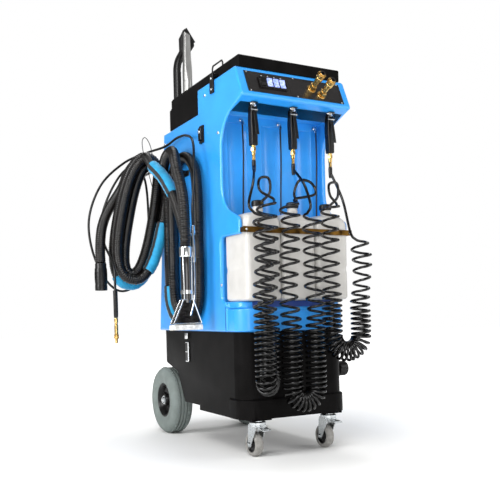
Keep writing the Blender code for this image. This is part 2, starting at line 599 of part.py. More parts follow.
# ---------------------------------------------------------------- front casters
def make_casters():
    top_z = BASE_BOTTOM - 0.004 - GAP
    axle_y = CASTER_SWIVEL_Y + CASTER_TRAIL
    leg = [(CASTER_SWIVEL_Y - 0.022, 0.106), (CASTER_SWIVEL_Y - 0.020, 0.094), (axle_y - 0.009, 0.032),
           (axle_y + 0.009, 0.032), (CASTER_SWIVEL_Y + 0.030, 0.094), (CASTER_SWIVEL_Y + 0.026, 0.106)]
    half_gap = CASTER_W / 2 + 0.002
    for side, label in ((-1, "left"), (1, "right")):
        x = side * CASTER_X
        fork = rod(f"caster_fork_{label}", (x, CASTER_SWIVEL_Y, 0.100), (x, CASTER_SWIVEL_Y, 0.114),
                   0.026, "zinc plate", 20)
        king = rod(f"caster_king_{label}", (x, CASTER_SWIVEL_Y, 0.108), (x, CASTER_SWIVEL_Y, top_z), 0.018)
        joined(fork, king)
        joined(fork, block(f"caster_top_{label}", (x - half_gap - 0.003, CASTER_SWIVEL_Y - 0.022, 0.0995),
                           (x + half_gap + 0.003, CASTER_SWIVEL_Y + 0.026, 0.1045)))
        for edge in (-1, 1):
            leg_x = x + edge * (half_gap + 0.0015)
            joined(fork, plate(f"caster_leg_{label}_{edge}", [leg], "YZ", leg_x, 0.003))
        joined(fork, rod(f"caster_pin_{label}", (x - half_gap - 0.006, axle_y, CASTER_R),
                         (x + half_gap + 0.006, axle_y, CASTER_R), 0.0045, segments=12))
        on_axis(fork, (x, CASTER_SWIVEL_Y, top_z))
        half = CASTER_W / 2
        wheel = [(CASTER_R - 0.003, half), (CASTER_R, half - 0.005), (CASTER_R, -half + 0.005),
                 (CASTER_R - 0.003, -half), (0.0045 + GAP, -half), (0.0045 + GAP, half)]
        turned(f"caster_wheel_{label}", wheel, (x, axle_y, CASTER_R), "X", "grey caster rubber", 28,
               solid=False)
        pedal_y = CASTER_SWIVEL_Y - 0.026
        pedal = [(pedal_y + 0.0035, 0.0905), (pedal_y + 0.0035, 0.0975), (pedal_y - 0.012, 0.1000),
                 (pedal_y - 0.036, 0.0960), (pedal_y - 0.036, 0.0915), (pedal_y - 0.012, 0.0940)]
        brake = plate(f"caster_brake_{label}", [pedal], "YZ", x, 0.030, "zinc plate")
        on_axis(brake, (x, pedal_y + 0.0025, 0.094))


# ---------------------------------------------------------------- side hooks, tools and drain valve
FRONT_HOOK_X = -0.2575
REAR_HOOK_X = -0.281
SIDE_HANK_CENTRE = (0.050, 0.737)
SIDE_HANK_HALF = (0.150, 0.325)
SIDE_HANK_BAND = 0.078
SIDE_HANK_X = -BODY_HALF_W - 0.0055 - HOSE_R
REAR_HANK_CENTRE = (-0.320, 0.826)
REAR_HANK_HALF = (0.100, 0.250)
REAR_HANK_BAND = 0.060
REAR_HANK_TILT = math.radians(12)
REAR_HANK_Y = 0.250
REAR_HANK_DEPTH = 0.090


def stadium(centre, half, steps=8):
    """Outline of an upright slot shape: half holds half its width and half its height."""
    radius, reach = half[0], half[1] - half[0]
    points = arc((0.0, reach), radius, 0, 180, steps) + arc((0.0, -reach), radius, 180, 360, steps)
    return [(centre[0] + across, centre[1] + up) for across, up in points]


def tilted_oval(centre, half, angle, steps=20):
    """Outline of an oval whose long axis leans by angle from upright."""
    cosine, sine = math.cos(angle), math.sin(angle)
    oval = []
    for across, up in [(half[0] * c, half[1] * s) for c, s in arc((0.0, 0.0), 1.0, 0, 360, steps)[:-1]]:
        oval.append((centre[0] + across * cosine + up * sine, centre[1] - across * sine + up * cosine))
    return oval


def make_hooks():
    """One bracket on the left side: a peg for the side hank and an angled peg for the rear hank."""
    side = -BODY_HALF_W - GAP
    front_y = SIDE_HANK_CENTRE[0]
    rear_y = REAR_HANK_Y - REAR_HANK_DEPTH / 2 - 0.014
    z = SIDE_HANK_CENTRE[1] + SIDE_HANK_HALF[1] - SIDE_HANK_BAND - 0.006
    bracket = block("hose_hooks", (side - 0.003, front_y - 0.016, z - 0.016),
                    (side, rear_y + 0.010, z + 0.004), "black plastic")
    peg_r = 0.0045
    joined(bracket, rod("front_peg", (side - 0.001, front_y, z), (FRONT_HOOK_X, front_y, z), peg_r,
                        segments=12))
    joined(bracket, rod("front_tip", (FRONT_HOOK_X, front_y, z - 0.003),
                        (FRONT_HOOK_X, front_y, z + 0.026), peg_r * 0.95, segments=12))
    rear_z = REAR_HANK_CENTRE[1] + (REAR_HANK_HALF[1] - REAR_HANK_BAND) * math.cos(REAR_HANK_TILT) - 0.010
    far_y = REAR_HANK_Y + REAR_HANK_DEPTH / 2 + 0.008
    joined(bracket, block("rear_peg_foot", (side - 0.003, rear_y - 0.010, z - 0.010),
                          (side, rear_y + 0.010, rear_z + 0.010)))
    joined(bracket, rod("rear_peg", (side - 0.001, rear_y, rear_z), (REAR_HOOK_X, rear_y, rear_z), peg_r,
                        segments=12))
    joined(bracket, rod("rear_arm", (REAR_HOOK_X, rear_y - 0.003, rear_z), (REAR_HOOK_X, far_y, rear_z),
                        peg_r * 0.95, segments=12))
    joined(bracket, rod("rear_tip", (REAR_HOOK_X, far_y - 0.002, rear_z - 0.003),
                        (REAR_HOOK_X, far_y - 0.002, rear_z + 0.020), peg_r * 0.9, segments=12))


def make_hanks():
    inner = (SIDE_HANK_HALF[0] - SIDE_HANK_BAND, SIDE_HANK_HALF[1] - SIDE_HANK_BAND)
    plate("hose_hank_side", [stadium(SIDE_HANK_CENTRE, SIDE_HANK_HALF), stadium(SIDE_HANK_CENTRE, inner)],
          "YZ", SIDE_HANK_X, 2 * HOSE_R + 0.001, "black rubber")
    inner = (REAR_HANK_HALF[0] - REAR_HANK_BAND, REAR_HANK_HALF[1] - REAR_HANK_BAND)
    rings = [tilted_oval(REAR_HANK_CENTRE, half, REAR_HANK_TILT) for half in (REAR_HANK_HALF, inner)]
    plate("hose_hank_rear", rings, "XZ", REAR_HANK_Y, REAR_HANK_DEPTH, "black rubber")


def make_vacuum_tool():
    """Upholstery tool that hangs on its hose, seen broad from the front."""
    x, y = -0.306, -0.140
    tool = rod("upholstery_tool", (x, y, 0.690), (x, y, 0.655), 0.0215, "stainless steel", 20)
    barrel = rod("tool_barrel", (x, y, 0.660), (x, y, 0.500), 0.0190)
    fan = [(-0.019, 0.515), (0.019, 0.515), (0.049, 0.432), (-0.055, 0.432)]
    head = plate("tool_head", [fan], "XZ", y, 0.030)
    head.location.x = x
    lip = block("tool_lip", (x - 0.060, y - 0.013, 0.414), (x + 0.053, y + 0.013, 0.433))
    valve = rod("tool_valve", (x + 0.027, y - 0.004, 0.760), (x + 0.027, y - 0.004, 0.640), 0.0060)
    clamp = block("tool_clamp", (x + 0.010, y - 0.008, 0.658), (x + 0.030, y + 0.004, 0.672))
    joined(tool, barrel, head, lip, clamp, valve)
    start = (x, y, 0.690 + GAP)
    side_x = SIDE_HANK_X - HOSE_R - 0.0005 - GAP
    route = [start, (x, y, 0.740), (x + 0.001, y + 0.018, 0.860), (x - 0.002, y + 0.062, 0.960),
             (x + 0.006, y + 0.108, 1.010), (side_x - 0.024, y + 0.128, 1.020), (side_x, y + 0.128, 1.020)]
    tube("vacuum_hose_lead", route, HOSE_R, "black rubber", 0.018)


def make_free_ends():
    """The vacuum hose's loose end with its cuff, and the solution hose with its whip and plug."""
    outward = Vector((-math.cos(REAR_HANK_TILT), 0.0, math.sin(REAR_HANK_TILT)))
    middle = Vector((REAR_HANK_CENTRE[0], REAR_HANK_Y, REAR_HANK_CENTRE[1]))
    start = middle + outward * (REAR_HANK_HALF[0] + GAP)
    cuff_top = Vector((-0.478, REAR_HANK_Y - 0.010, 0.660))
    route = [start, start + outward * 0.016, start + Vector((-0.034, -0.002, -0.026)),
             cuff_top + Vector((0.000, 0.000, 0.050)), cuff_top]
    tube("vacuum_hose_tail", route, HOSE_R, "black rubber", 0.018)
    rod("hose_cuff", cuff_top - Vector((0, 0, GAP)), cuff_top - Vector((0, 0, 0.100)), 0.0225,
        "black rubber", 20)
    valve_top = Vector((-0.279, -0.144, 0.760 + GAP))
    route = [valve_top, valve_top + Vector((0.0, 0.0, 0.060)), (-0.262, -0.128, 0.930),
             (-0.240, -0.085, 1.050), (-0.226, 0.010, 1.098), (-0.226, 0.100, 1.108), (-0.232, 0.200, 1.098),
             (-0.270, 0.300, 1.088), (-0.350, 0.310, 1.045), (-0.440, 0.306, 0.960), (-0.492, 0.300, 0.840),
             (-0.486, 0.300, 0.720), (-0.440, 0.302, 0.610), (-0.375, 0.306, 0.560), (-0.300, 0.306, 0.600),
             (-0.262, 0.306, 0.720), (-0.256, 0.308, 0.880), (-0.266, 0.322, 1.000), (-0.305, 0.324, 1.045),
             (-0.360, 0.314, 1.010), (-0.415, 0.306, 0.920), (-0.448, 0.300, 0.820), (-0.445, 0.262, 0.735),
             (-0.438, 0.208, 0.660), (-0.442, 0.190, 0.560), (-0.442, 0.188, 0.500), (-0.442, 0.188, 0.460)]
    tube("solution_hose", route, SOLUTION_R, "black rubber", 0.034)
    plug_top = Vector((-0.442, 0.188, 0.460 - GAP))
    plug = [(0.0, 0.0), (0.0070, 0.0), (0.0070, -0.060), (0.0085, -0.062), (0.0085, -0.074),
            (0.0050, -0.078), (0.0050, -0.092), (0.0, -0.092)]
    turned("hose_plug", plug, plug_top, "Z", "brass", 16)


def add_tool_cups(cover):
    """A shelf on the back of the cover with a hole for each stored tool."""
    low = (DETAIL_AT[0] - 0.026, COVER_REAR_Y - 0.004, CUP_TOP_Z - 0.030)
    high = (CREVICE_AT[0] + 0.030, DETAIL_AT[1] + 0.024, CUP_TOP_Z)
    joined(cover, block("tool_shelf", low, high, corner=0.012, corners="rear"))
    for number, (at, radius) in enumerate(((CREVICE_AT, 0.0196), (DETAIL_AT, 0.0166))):
        cut(cover, rod(f"tool_hole_{number}", (*at, 1.10), (*at, 1.30), radius, segments=20))


def make_rear_tools():
    """Two hand tools that stand in the shelf's holes, each on its own collar."""
    x, y = CREVICE_AT
    collar_z = CUP_TOP_Z + GAP
    profile = [(0.0, 1.410), (0.0165, 1.410), (0.0190, 1.385), (0.0190, 1.235), (0.0225, 1.232),
               (0.0225, collar_z), (0.0190, collar_z), (0.0190, 1.100), (0.0, 1.100)]
    crevice = turned("crevice_tool", profile, (x, y, 0.0), "Z", "stainless steel", 20)
    nose = [(x - 0.018, 1.395), (x + 0.018, 1.395), (x + 0.0125, 1.570), (x - 0.0125, 1.584)]
    joined(crevice, plate("crevice_nose", [nose], "XZ", y, 0.022))
    x, y = DETAIL_AT
    profile = [(0.0, 1.440), (0.0160, 1.440), (0.0160, 1.225), (0.0195, 1.222), (0.0195, collar_z),
               (0.0160, collar_z), (0.0160, 1.060), (0.0, 1.060)]
    detail = turned("detail_tool", profile, (x, y, 0.0), "Z", "black plastic", 20)
    neck = tube("detail_neck", [(x, y, 1.425), (x, y, 1.450), (x + 0.008, y, 1.485), (x + 0.030, y, 1.525)],
                0.0155, None)
    head = [(x + 0.015, 1.480), (x + 0.028, 1.480), (x + 0.075, 1.548), (x + 0.073, 1.566),
            (x + 0.035, 1.618), (x + 0.014, 1.575)]
    joined(detail, neck, plate("detail_head", [head], "XZ", y, 0.028))


def make_drain_valve():
    profile = [(0.0, 0.058), (0.021, 0.058), (0.026, 0.053), (0.026, 0.022), (0.016, 0.019), (0.016, 0.0),
               (0.0, 0.0)]
    turned("drain_valve", profile, (BASE_HALF_W + 0.0043, -0.235, 0.262), "X", "black plastic", 24)


make_base()
make_body()
make_top()
make_base_latches()
make_panel()
make_rockers()
make_jugs()
make_supply_lines()
make_guns()
make_coil_hoses()
make_rear_wheels()
make_casters()
make_hooks()
make_hanks()
make_vacuum_tool()
make_free_ends()
make_rear_tools()
make_drain_valve()
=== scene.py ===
"""Finished look of an upright hot-water extractor with three spray guns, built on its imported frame.

Every piece is made in the frame's own coordinates, in metres, and rides on a body of the frame.
"""
import math

import bmesh
import bpy
from bpy.props import FloatProperty, FloatVectorProperty, IntProperty, PointerProperty
from mathutils import Matrix, Vector


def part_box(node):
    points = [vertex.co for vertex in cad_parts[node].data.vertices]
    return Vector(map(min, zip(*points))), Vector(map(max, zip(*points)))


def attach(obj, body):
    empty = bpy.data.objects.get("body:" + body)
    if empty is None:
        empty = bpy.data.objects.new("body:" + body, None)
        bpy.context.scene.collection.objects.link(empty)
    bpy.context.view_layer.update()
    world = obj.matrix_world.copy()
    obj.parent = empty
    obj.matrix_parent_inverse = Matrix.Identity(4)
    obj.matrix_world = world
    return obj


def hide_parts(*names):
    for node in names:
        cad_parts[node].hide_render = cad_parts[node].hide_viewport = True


bl_info = {
    "name": "Hot-water extractor",
    "version": (1, 0, 0),
    "blender": (4, 5, 0),
    "location": "View3D > Sidebar > Extractor",
    "description": "Builds the finished surface of an extractor cart over its frame",
    "category": "Add Mesh",
}

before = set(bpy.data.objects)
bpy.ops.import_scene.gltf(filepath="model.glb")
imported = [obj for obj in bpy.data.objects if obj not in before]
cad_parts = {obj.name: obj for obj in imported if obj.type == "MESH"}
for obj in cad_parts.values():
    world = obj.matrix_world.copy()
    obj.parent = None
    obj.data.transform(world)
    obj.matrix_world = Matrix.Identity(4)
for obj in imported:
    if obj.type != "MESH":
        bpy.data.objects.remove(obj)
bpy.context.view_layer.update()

# ---------------------------------------------------------------- places taken from the frame
BODY_LOW, BODY_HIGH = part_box("body_shell")
TYRE_LOW, TYRE_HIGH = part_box("rear_tyre_left")
DESIGN_AXLE_Y = 0.3325
MID_X = (BODY_LOW.x + BODY_HIGH.x) / 2
MID_Y = (TYRE_LOW.y + TYRE_HIGH.y) / 2 - DESIGN_AXLE_Y
HALF_W = (BODY_HIGH.x - BODY_LOW.x) / 2
LID_TOP_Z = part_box("lid")[1].z

HOSE_R = 0.019
COIL_R = 0.035
GUN_X = (-0.147, 0.0, 0.147)
GUN_Y = -0.332
GUN_FOOT_Z = 0.996
GUN_BARB_Z = 0.948
JUG_PITCH = 0.1305
CAP_Y = -0.32
CAP_Z = 0.806
BACK_WALL_Y = -0.19
PANEL_TILT = math.atan2(0.041, 0.089)
SIDE_HANK = (0.05, 0.737)
SIDE_HANK_X = -0.2325
REAR_HANK = (-0.32, 0.826)
REAR_HANK_TILT = math.radians(12)


def at(x, y, z):
    """A point of the machine's own layout, whose X = 0 is its middle plane, in the frame."""
    return Vector((x + MID_X, y + MID_Y, z))


PANEL = Matrix.Translation(at(0.0, -0.3535, 1.1915)) @ Matrix.Rotation(-PANEL_TILT, 4, "X")


def linear(code):
    """An sRGB hex colour as linear red, green and blue."""
    values = [int(code[i:i + 2], 16) / 255 for i in (1, 3, 5)]
    return tuple(v / 12.92 if v <= 0.04045 else ((v + 0.055) / 1.055) ** 2.4 for v in values)


# ---------------------------------------------------------------- settings
def length_property(label, about, value):
    return FloatProperty(name=label, description=about, default=value, min=0.0001, unit="LENGTH")


def colour_property(label, about, code):
    return FloatVectorProperty(name=label, description=about, default=linear(code), min=0.0, max=1.0,
            subtype="COLOR")


class ShellSettings(bpy.types.PropertyGroup):
    body_colour: colour_property("Body", "Colour of the moulded body", "#2B92E3")
    base_colour: colour_property("Base and lid", "Colour of the black mouldings", "#0C0B0B")
    edge_radius: length_property("Edge radius", "Rounding of the body's edges", 0.007)


class HoseSettings(bpy.types.PropertyGroup):
    rib_pitch: length_property("Rib pitch", "Distance between two ribs of the vacuum hose", 0.0075)
    rib_depth: length_property("Rib depth", "Height of a rib of the vacuum hose", 0.0011)
    sleeve_colour: colour_property("Sleeves", "Colour of the neoprene sleeves", "#158FBE")


class CoilSettings(bpy.types.PropertyGroup):
    tube_diameter: length_property("Tube", "Diameter of the coiled tube", 0.0088)
    open_pitch: length_property("Open pitch", "Distance between two stretched turns", 0.037)
    close_pitch: length_property("Close pitch", "Distance between two resting turns", 0.0165)


class WheelSettings(bpy.types.PropertyGroup):
    tyre_colour: colour_property("Tyres", "Colour of the rear tyres", "#737C79")
    tread_blocks: IntProperty(name="Tread blocks", description="Small blocks in each of a tyre's two rows",
            default=44, min=8)


class StageSettings(bpy.types.PropertyGroup):
    key_power: FloatProperty(name="Key light", description="Power of the large front light", default=78.0,
            min=0.0, unit="POWER")
    floor_colour: colour_property("Floor", "Colour of the floor", "#F7F7F6")


class ExtractorSettings(bpy.types.PropertyGroup):
    shell: PointerProperty(type=ShellSettings)
    hose: PointerProperty(type=HoseSettings)
    coil: PointerProperty(type=CoilSettings)
    wheel: PointerProperty(type=WheelSettings)
    stage: PointerProperty(type=StageSettings)


# ---------------------------------------------------------------- materials
# names of the finishes
BLUE = "rotomoulded blue polyethylene"
BLACK = "rotomoulded black polyethylene"
NYLON = "glass-filled black nylon"
MILKY = "blow-moulded natural polyethylene"
BRASS = "machined brass"
BRONZE = "bronze anodised aluminium"
ZINC = "bright zinc plated steel"
ALUMINIUM = "satin anodised aluminium"
CHROME = "chromium plated brass"
TYRE = "grey non-marking rubber"
CASTER = "moulded caster rubber"
VINYL = "corrugated black vinyl"
RUBBER = "extruded black rubber"
COIL = "black polyurethane tube"
NEOPRENE = "knit-faced neoprene"
TAPE = "woven nylon tape"
PLATE = "satin black powder coat"
ROCKER = "lit blue polycarbonate"
LENS = "clear lamp lens"
WHITE = "white glide nylon"
SMOKED = "smoked polycarbonate"
# painted shadow: the darker blue of the shade under the jugs
PAINTED_SHADOW_BLUE = "blue polyethylene with painted shadow"


def add_node(tree, kind, inputs=None, **settings):
    """Add a node; inputs maps a socket to a value or to another node's output socket."""
    node = tree.nodes.new(kind)
    for name, value in settings.items():
        setattr(node, name, value)
    for socket, value in (inputs or {}).items():
        if isinstance(value, bpy.types.NodeSocket):
            tree.links.new(value, node.inputs[socket])
        else:
            node.inputs[socket].default_value = value
    return node


def new_finish(name, colour, roughness, metallic=0.0, **sockets):
    """A material with its shader's plain values set; returns its tree and shader."""
    material = bpy.data.materials.new(name)
    material.use_nodes = True
    shader = material.node_tree.nodes["Principled BSDF"]
    shader.inputs["Base Color"].default_value = (*colour, 1.0)
    shader.inputs["Roughness"].default_value = roughness
    shader.inputs["Metallic"].default_value = metallic
    for socket, value in sockets.items():
        shader.inputs[socket.replace("_", " ")].default_value = value
    return material.node_tree, shader


def grain(tree, shader, size_mm, height_mm, detail=3.0, stretch=(1.0, 1.0, 1.0)):
    """Bump from a noise whose lumps are size_mm across."""
    coords = add_node(tree, "ShaderNodeTexCoord")
    mapping = add_node(tree, "ShaderNodeMapping", {"Vector": coords.outputs["Object"], "Scale": stretch})
    noise = add_node(tree, "ShaderNodeTexNoise", {"Vector": mapping.outputs[0], "Scale": 1000.0 / size_mm,
            "Detail": detail, "Roughness": 0.6})
    bump = add_node(tree, "ShaderNodeBump", {"Height": noise.outputs["Fac"], "Strength": 1.0,
            "Distance": height_mm / 1000.0})
    tree.links.new(bump.outputs["Normal"], shader.inputs["Normal"])


def mottle(tree, shader, dark, light, size_mm, socket="Base Color"):
    """Slow variation of a colour or a number between two values, in patches size_mm across."""
    coords = add_node(tree, "ShaderNodeTexCoord")
    noise = add_node(tree, "ShaderNodeTexNoise", {"Vector": coords.outputs["Object"],
            "Scale": 1000.0 / size_mm, "Detail": 4.0})
    if socket == "Base Color":
        ramp = add_node(tree, "ShaderNodeValToRGB", {"Fac": noise.outputs["Fac"]})
        ramp.color_ramp.elements[0].position = 0.35
        ramp.color_ramp.elements[0].color = (*dark, 1.0)
        ramp.color_ramp.elements[1].position = 0.65
        ramp.color_ramp.elements[1].color = (*light, 1.0)
        tree.links.new(ramp.outputs["Color"], shader.inputs[socket])
    else:
        spread = add_node(tree, "ShaderNodeMapRange", {"Value": noise.outputs["Fac"], "From Min": 0.3,
                "From Max": 0.7, "To Min": dark, "To Max": light})
        tree.links.new(spread.outputs["Result"], shader.inputs[socket])


def scaled(colour, factor):
    return tuple(min(1.0, c * factor) for c in colour)


def blue_polyethylene():
    # rotomoulded polyethylene: a waxy sheen over a faint orange peel, slightly uneven in colour
    colour = bpy.context.scene.extractor.shell.body_colour
    tree, shader = new_finish(BLUE, colour, 0.3, IOR=1.51, Coat_Weight=0.25, Coat_Roughness=0.12,
            Subsurface_Weight=0.05)
    mottle(tree, shader, scaled(colour, 0.95), scaled(colour, 1.05), 90)
    grain(tree, shader, 7.0, 0.1)


def black_polyethylene():
    # the same process in black, with a fine leather grain and very little shine
    colour = bpy.context.scene.extractor.shell.base_colour
    tree, shader = new_finish(BLACK, colour, 0.42, IOR=1.51, Specular_IOR_Level=0.04)
    mottle(tree, shader, scaled(colour, 0.75), scaled(colour, 1.35), 60)
    grain(tree, shader, 2.6, 0.12, 4.0)


def black_nylon():
    # glass-filled nylon mouldings: satin black, in slightly lighter and darker patches
    tree, shader = new_finish(NYLON, linear("#0B0A0A"), 0.3, IOR=1.53, Specular_IOR_Level=0.3)
    mottle(tree, shader, linear("#070707"), linear("#100F0F"), 14)
    grain(tree, shader, 1.4, 0.05)


def natural_polyethylene():
    # blow-moulded natural polyethylene: milky, lets light in, faint vertical flow marks
    tree, shader = new_finish(MILKY, linear("#BFBDB9"), 0.36, IOR=1.51, Subsurface_Weight=0.35,
            Subsurface_Radius=(0.03, 0.03, 0.028), Subsurface_Scale=0.5)
    mottle(tree, shader, linear("#B9B7B3"), linear("#C6C4C0"), 70)
    grain(tree, shader, 24.0, 0.25, 2.0, (1.0, 1.0, 0.25))


def machined_brass():
    # turned brass: warm yellow, finely lined, dulled in patches
    tree, shader = new_finish(BRASS, linear("#CDAA62"), 0.22, 1.0)
    mottle(tree, shader, linear("#B89250"), linear("#DCBE7C"), 9)
    grain(tree, shader, 1.2, 0.03, 2.0, (1.0, 6.0, 1.0))


def bronze_strip():
    # bronze anodised aluminium flat bar, brushed along its length
    tree, shader = new_finish(BRONZE, linear("#5C421C"), 0.3, 1.0)
    mottle(tree, shader, linear("#33240F"), linear("#86622A"), 30)
    grain(tree, shader, 3.0, 0.04, 2.0, (0.08, 1.0, 4.0))


def zinc_plate():
    # bright zinc plated pressings: bluish silver with slow, cloudy changes in polish
    tree, shader = new_finish(ZINC, linear("#C6CACC"), 0.26, 1.0)
    mottle(tree, shader, 0.18, 0.38, 11, "Roughness")
    grain(tree, shader, 2.0, 0.02)


def satin_aluminium():
    # extruded aluminium tube, brushed along its length and clear anodised
    tree, shader = new_finish(ALUMINIUM, linear("#A9A9A7"), 0.42, 1.0)
    mottle(tree, shader, 0.38, 0.48, 30, "Roughness")
    grain(tree, shader, 3.0, 0.004, 2.0, (4.0, 4.0, 0.1))


def chrome():
    # decorative chrome on small fittings
    tree, shader = new_finish(CHROME, linear("#DADCDD"), 0.08, 1.0)
    mottle(tree, shader, 0.05, 0.14, 8, "Roughness")


def grey_rubber():
    # non-marking vulcanised rubber: matt, chalky, a little dust on the tread
    colour = bpy.context.scene.extractor.wheel.tyre_colour
    tree, shader = new_finish(TYRE, colour, 0.78, IOR=1.52)
    mottle(tree, shader, scaled(colour, 0.88), scaled(colour, 1.08), 40)
    grain(tree, shader, 1.8, 0.12)


def caster_rubber():
    # moulded thermoplastic rubber treads of the casters
    tree, shader = new_finish(CASTER, linear("#8B8985"), 0.62, IOR=1.5)
    mottle(tree, shader, linear("#82807C"), linear("#94928E"), 12)
    grain(tree, shader, 1.2, 0.05)


def hose_vinyl():
    # corrugated vinyl vacuum hose: black, with brownish light caught on the ribs
    tree, shader = new_finish(VINYL, linear("#0A0808"), 0.28, IOR=1.54, Specular_IOR_Level=0.35)
    mottle(tree, shader, linear("#050404"), linear("#100C0A"), 45)
    grain(tree, shader, 2.5, 0.08)


def hose_rubber():
    # smooth extruded rubber of the solution hose
    tree, shader = new_finish(RUBBER, linear("#080707"), 0.3, IOR=1.52, Specular_IOR_Level=0.35)
    mottle(tree, shader, linear("#050505"), linear("#0D0C0C"), 20)
    grain(tree, shader, 2.0, 0.04)


def coil_polyurethane():
    # extruded polyurethane: black, smooth, with a narrow highlight on every turn
    tree, shader = new_finish(COIL, linear("#040404"), 0.07, IOR=1.5, Specular_IOR_Level=0.35)
    mottle(tree, shader, linear("#030303"), linear("#090808"), 16)
    grain(tree, shader, 3.0, 0.02)


def neoprene():
    # knit-faced neoprene: a fine weave, a soft sheen and broad creases
    colour = bpy.context.scene.extractor.hose.sleeve_colour
    tree, shader = new_finish(NEOPRENE, colour, 0.62, IOR=1.45, Sheen_Weight=0.35, Sheen_Roughness=0.4)
    mottle(tree, shader, scaled(colour, 0.8), scaled(colour, 1.12), 38)
    coords = add_node(tree, "ShaderNodeTexCoord")
    # the knit is drawn at 2.4 mm, twice its real size, so that it shows
    weave = add_node(tree, "ShaderNodeTexWave", {"Vector": coords.outputs["Object"], "Scale": 130.0,
            "Distortion": 1.5, "Detail": 1.0}, bands_direction="DIAGONAL")
    crease = add_node(tree, "ShaderNodeTexNoise", {"Vector": coords.outputs["Object"], "Scale": 28.0})
    fine = add_node(tree, "ShaderNodeBump", {"Height": weave.outputs["Fac"], "Distance": 0.0002})
    bump = add_node(tree, "ShaderNodeBump", {"Height": crease.outputs["Fac"], "Distance": 0.003,
            "Normal": fine.outputs["Normal"]})
    tree.links.new(bump.outputs["Normal"], shader.inputs["Normal"])


def binding_tape():
    # woven nylon binding on the sleeves' closing seam
    tree, shader = new_finish(TAPE, linear("#08080A"), 0.7, Sheen_Weight=0.2)
    mottle(tree, shader, linear("#050506"), linear("#0F0F12"), 6)
    grain(tree, shader, 1.2, 0.15)


def panel_plate():
    # powder-coated control plate: near black, satin, fine texture
    tree, shader = new_finish(PLATE, linear("#141212"), 0.24, IOR=1.5, Coat_Weight=0.3, Coat_Roughness=0.18)
    mottle(tree, shader, linear("#0F0D0D"), linear("#1B1818"), 40)
    grain(tree, shader, 1.5, 0.06)


def lit_rocker():
    # translucent polycarbonate rocker with a lamp behind it
    tree, shader = new_finish(ROCKER, linear("#93A9F2"), 0.16, IOR=1.58,
            Emission_Color=(*linear("#8FA8F4"), 1.0), Emission_Strength=0.25)
    mottle(tree, shader, linear("#6E87E6"), linear("#C4CEFA"), 9)
    grain(tree, shader, 2.0, 0.03)


def clear_lamp():
    # small domed indicator lenses
    tree, shader = new_finish(LENS, linear("#C9CBD2"), 0.1, IOR=1.5, Coat_Weight=0.6)
    mottle(tree, shader, linear("#A9ACB6"), linear("#E4E6EC"), 3)


def white_nylon():
    # white nylon lip of the upholstery tool, worn along its edge
    tree, shader = new_finish(WHITE, linear("#D9D8D4"), 0.35, IOR=1.53)
    mottle(tree, shader, linear("#BFBDB8"), linear("#ECEBE8"), 12)
    grain(tree, shader, 1.5, 0.06)


def smoked_head():
    # smoked clear moulding of the tool's head, dark because it is black inside
    tree, shader = new_finish(SMOKED, linear("#0E0D0E"), 0.1, IOR=1.58, Coat_Weight=0.8,
            Coat_Roughness=0.04)
    mottle(tree, shader, linear("#080808"), linear("#181617"), 22)


def bay_shadow_blue():
    # painted shadow: a darker blue standing in for the shade on the shelf edge under the jugs
    tree, shader = new_finish(PAINTED_SHADOW_BLUE, linear("#143A8C"), 0.4, IOR=1.51)
    mottle(tree, shader, linear("#103078"), linear("#1A479E"), 60)
    grain(tree, shader, 6.0, 0.1)


# every finish: the function that makes it and the record slot its pieces usually take
FINISHES = {
    BLUE: (blue_polyethylene, "blue_polyethylene"),
    BLACK: (black_polyethylene, "black_polyethylene"),
    NYLON: (black_nylon, "black_plastic"),
    MILKY: (natural_polyethylene, "natural_polyethylene"),
    BRASS: (machined_brass, "brass"),
    BRONZE: (bronze_strip, "bronze_strip"),
    ZINC: (zinc_plate, "zinc_plate"),
    ALUMINIUM: (satin_aluminium, "stainless_steel"),
    CHROME: (chrome, "stainless_steel"),
    TYRE: (grey_rubber, "grey_rubber"),
    CASTER: (caster_rubber, "grey_caster_rubber"),
    VINYL: (hose_vinyl, "black_rubber"),
    RUBBER: (hose_rubber, "black_rubber"),
    COIL: (coil_polyurethane, "black_coil_hose"),
    NEOPRENE: (neoprene, "blue_polyethylene"),
    TAPE: (binding_tape, "black_rubber"),
    PLATE: (panel_plate, "black_panel"),
    ROCKER: (lit_rocker, "blue_rocker"),
    LENS: (clear_lamp, "natural_polyethylene"),
    WHITE: (white_nylon, "natural_polyethylene"),
    SMOKED: (smoked_head, "black_plastic"),
    PAINTED_SHADOW_BLUE: (bay_shadow_blue, "blue_polyethylene"),
}


def finish_of(name):
    if name not in bpy.data.materials:
        FINISHES[name][0]()
    return bpy.data.materials[name]


# ---------------------------------------------------------------- shapes
def lathe(profile, steps=32, place=None):
    """Turn a profile of (radius, height), outer side from top to bottom, round Z."""
    bm = bmesh.new()
    rings = []
    for radius, height in profile:
        if radius < 1e-6:
            rings.append([bm.verts.new((0.0, 0.0, height))])
            continue
        ring = []
        for i in range(steps):
            a = 2 * math.pi * i / steps
            ring.append(bm.verts.new((radius * math.cos(a), radius * math.sin(a), height)))
        rings.append(ring)
    pairs = list(zip(rings, rings[1:]))
    if len(rings[0]) > 1:
        pairs.append((rings[-1], rings[0]))
    for upper, lower in pairs:
        for i in range(steps):
            j = (i + 1) % steps
            corners = [upper[i % len(upper)], lower[i % len(lower)], lower[j % len(lower)],
                       upper[j % len(upper)]]
            bm.faces.new(list(dict.fromkeys(corners)))
    bmesh.ops.recalc_face_normals(bm, faces=bm.faces)
    if place:
        bmesh.ops.transform(bm, matrix=place, verts=bm.verts)
    return bm


def round_edges(bm, radius, segments=2, sharp=0.5, keep=None):
    edges = [e for e in bm.edges if len(e.link_faces) == 2 and e.calc_face_angle(0.0) > sharp]
    if keep:
        edges = [e for e in edges if keep((e.verts[0].co + e.verts[1].co) / 2)]
    bmesh.ops.bevel(bm, geom=edges, offset=radius, segments=segments, profile=0.5, affect="EDGES")
    return bm


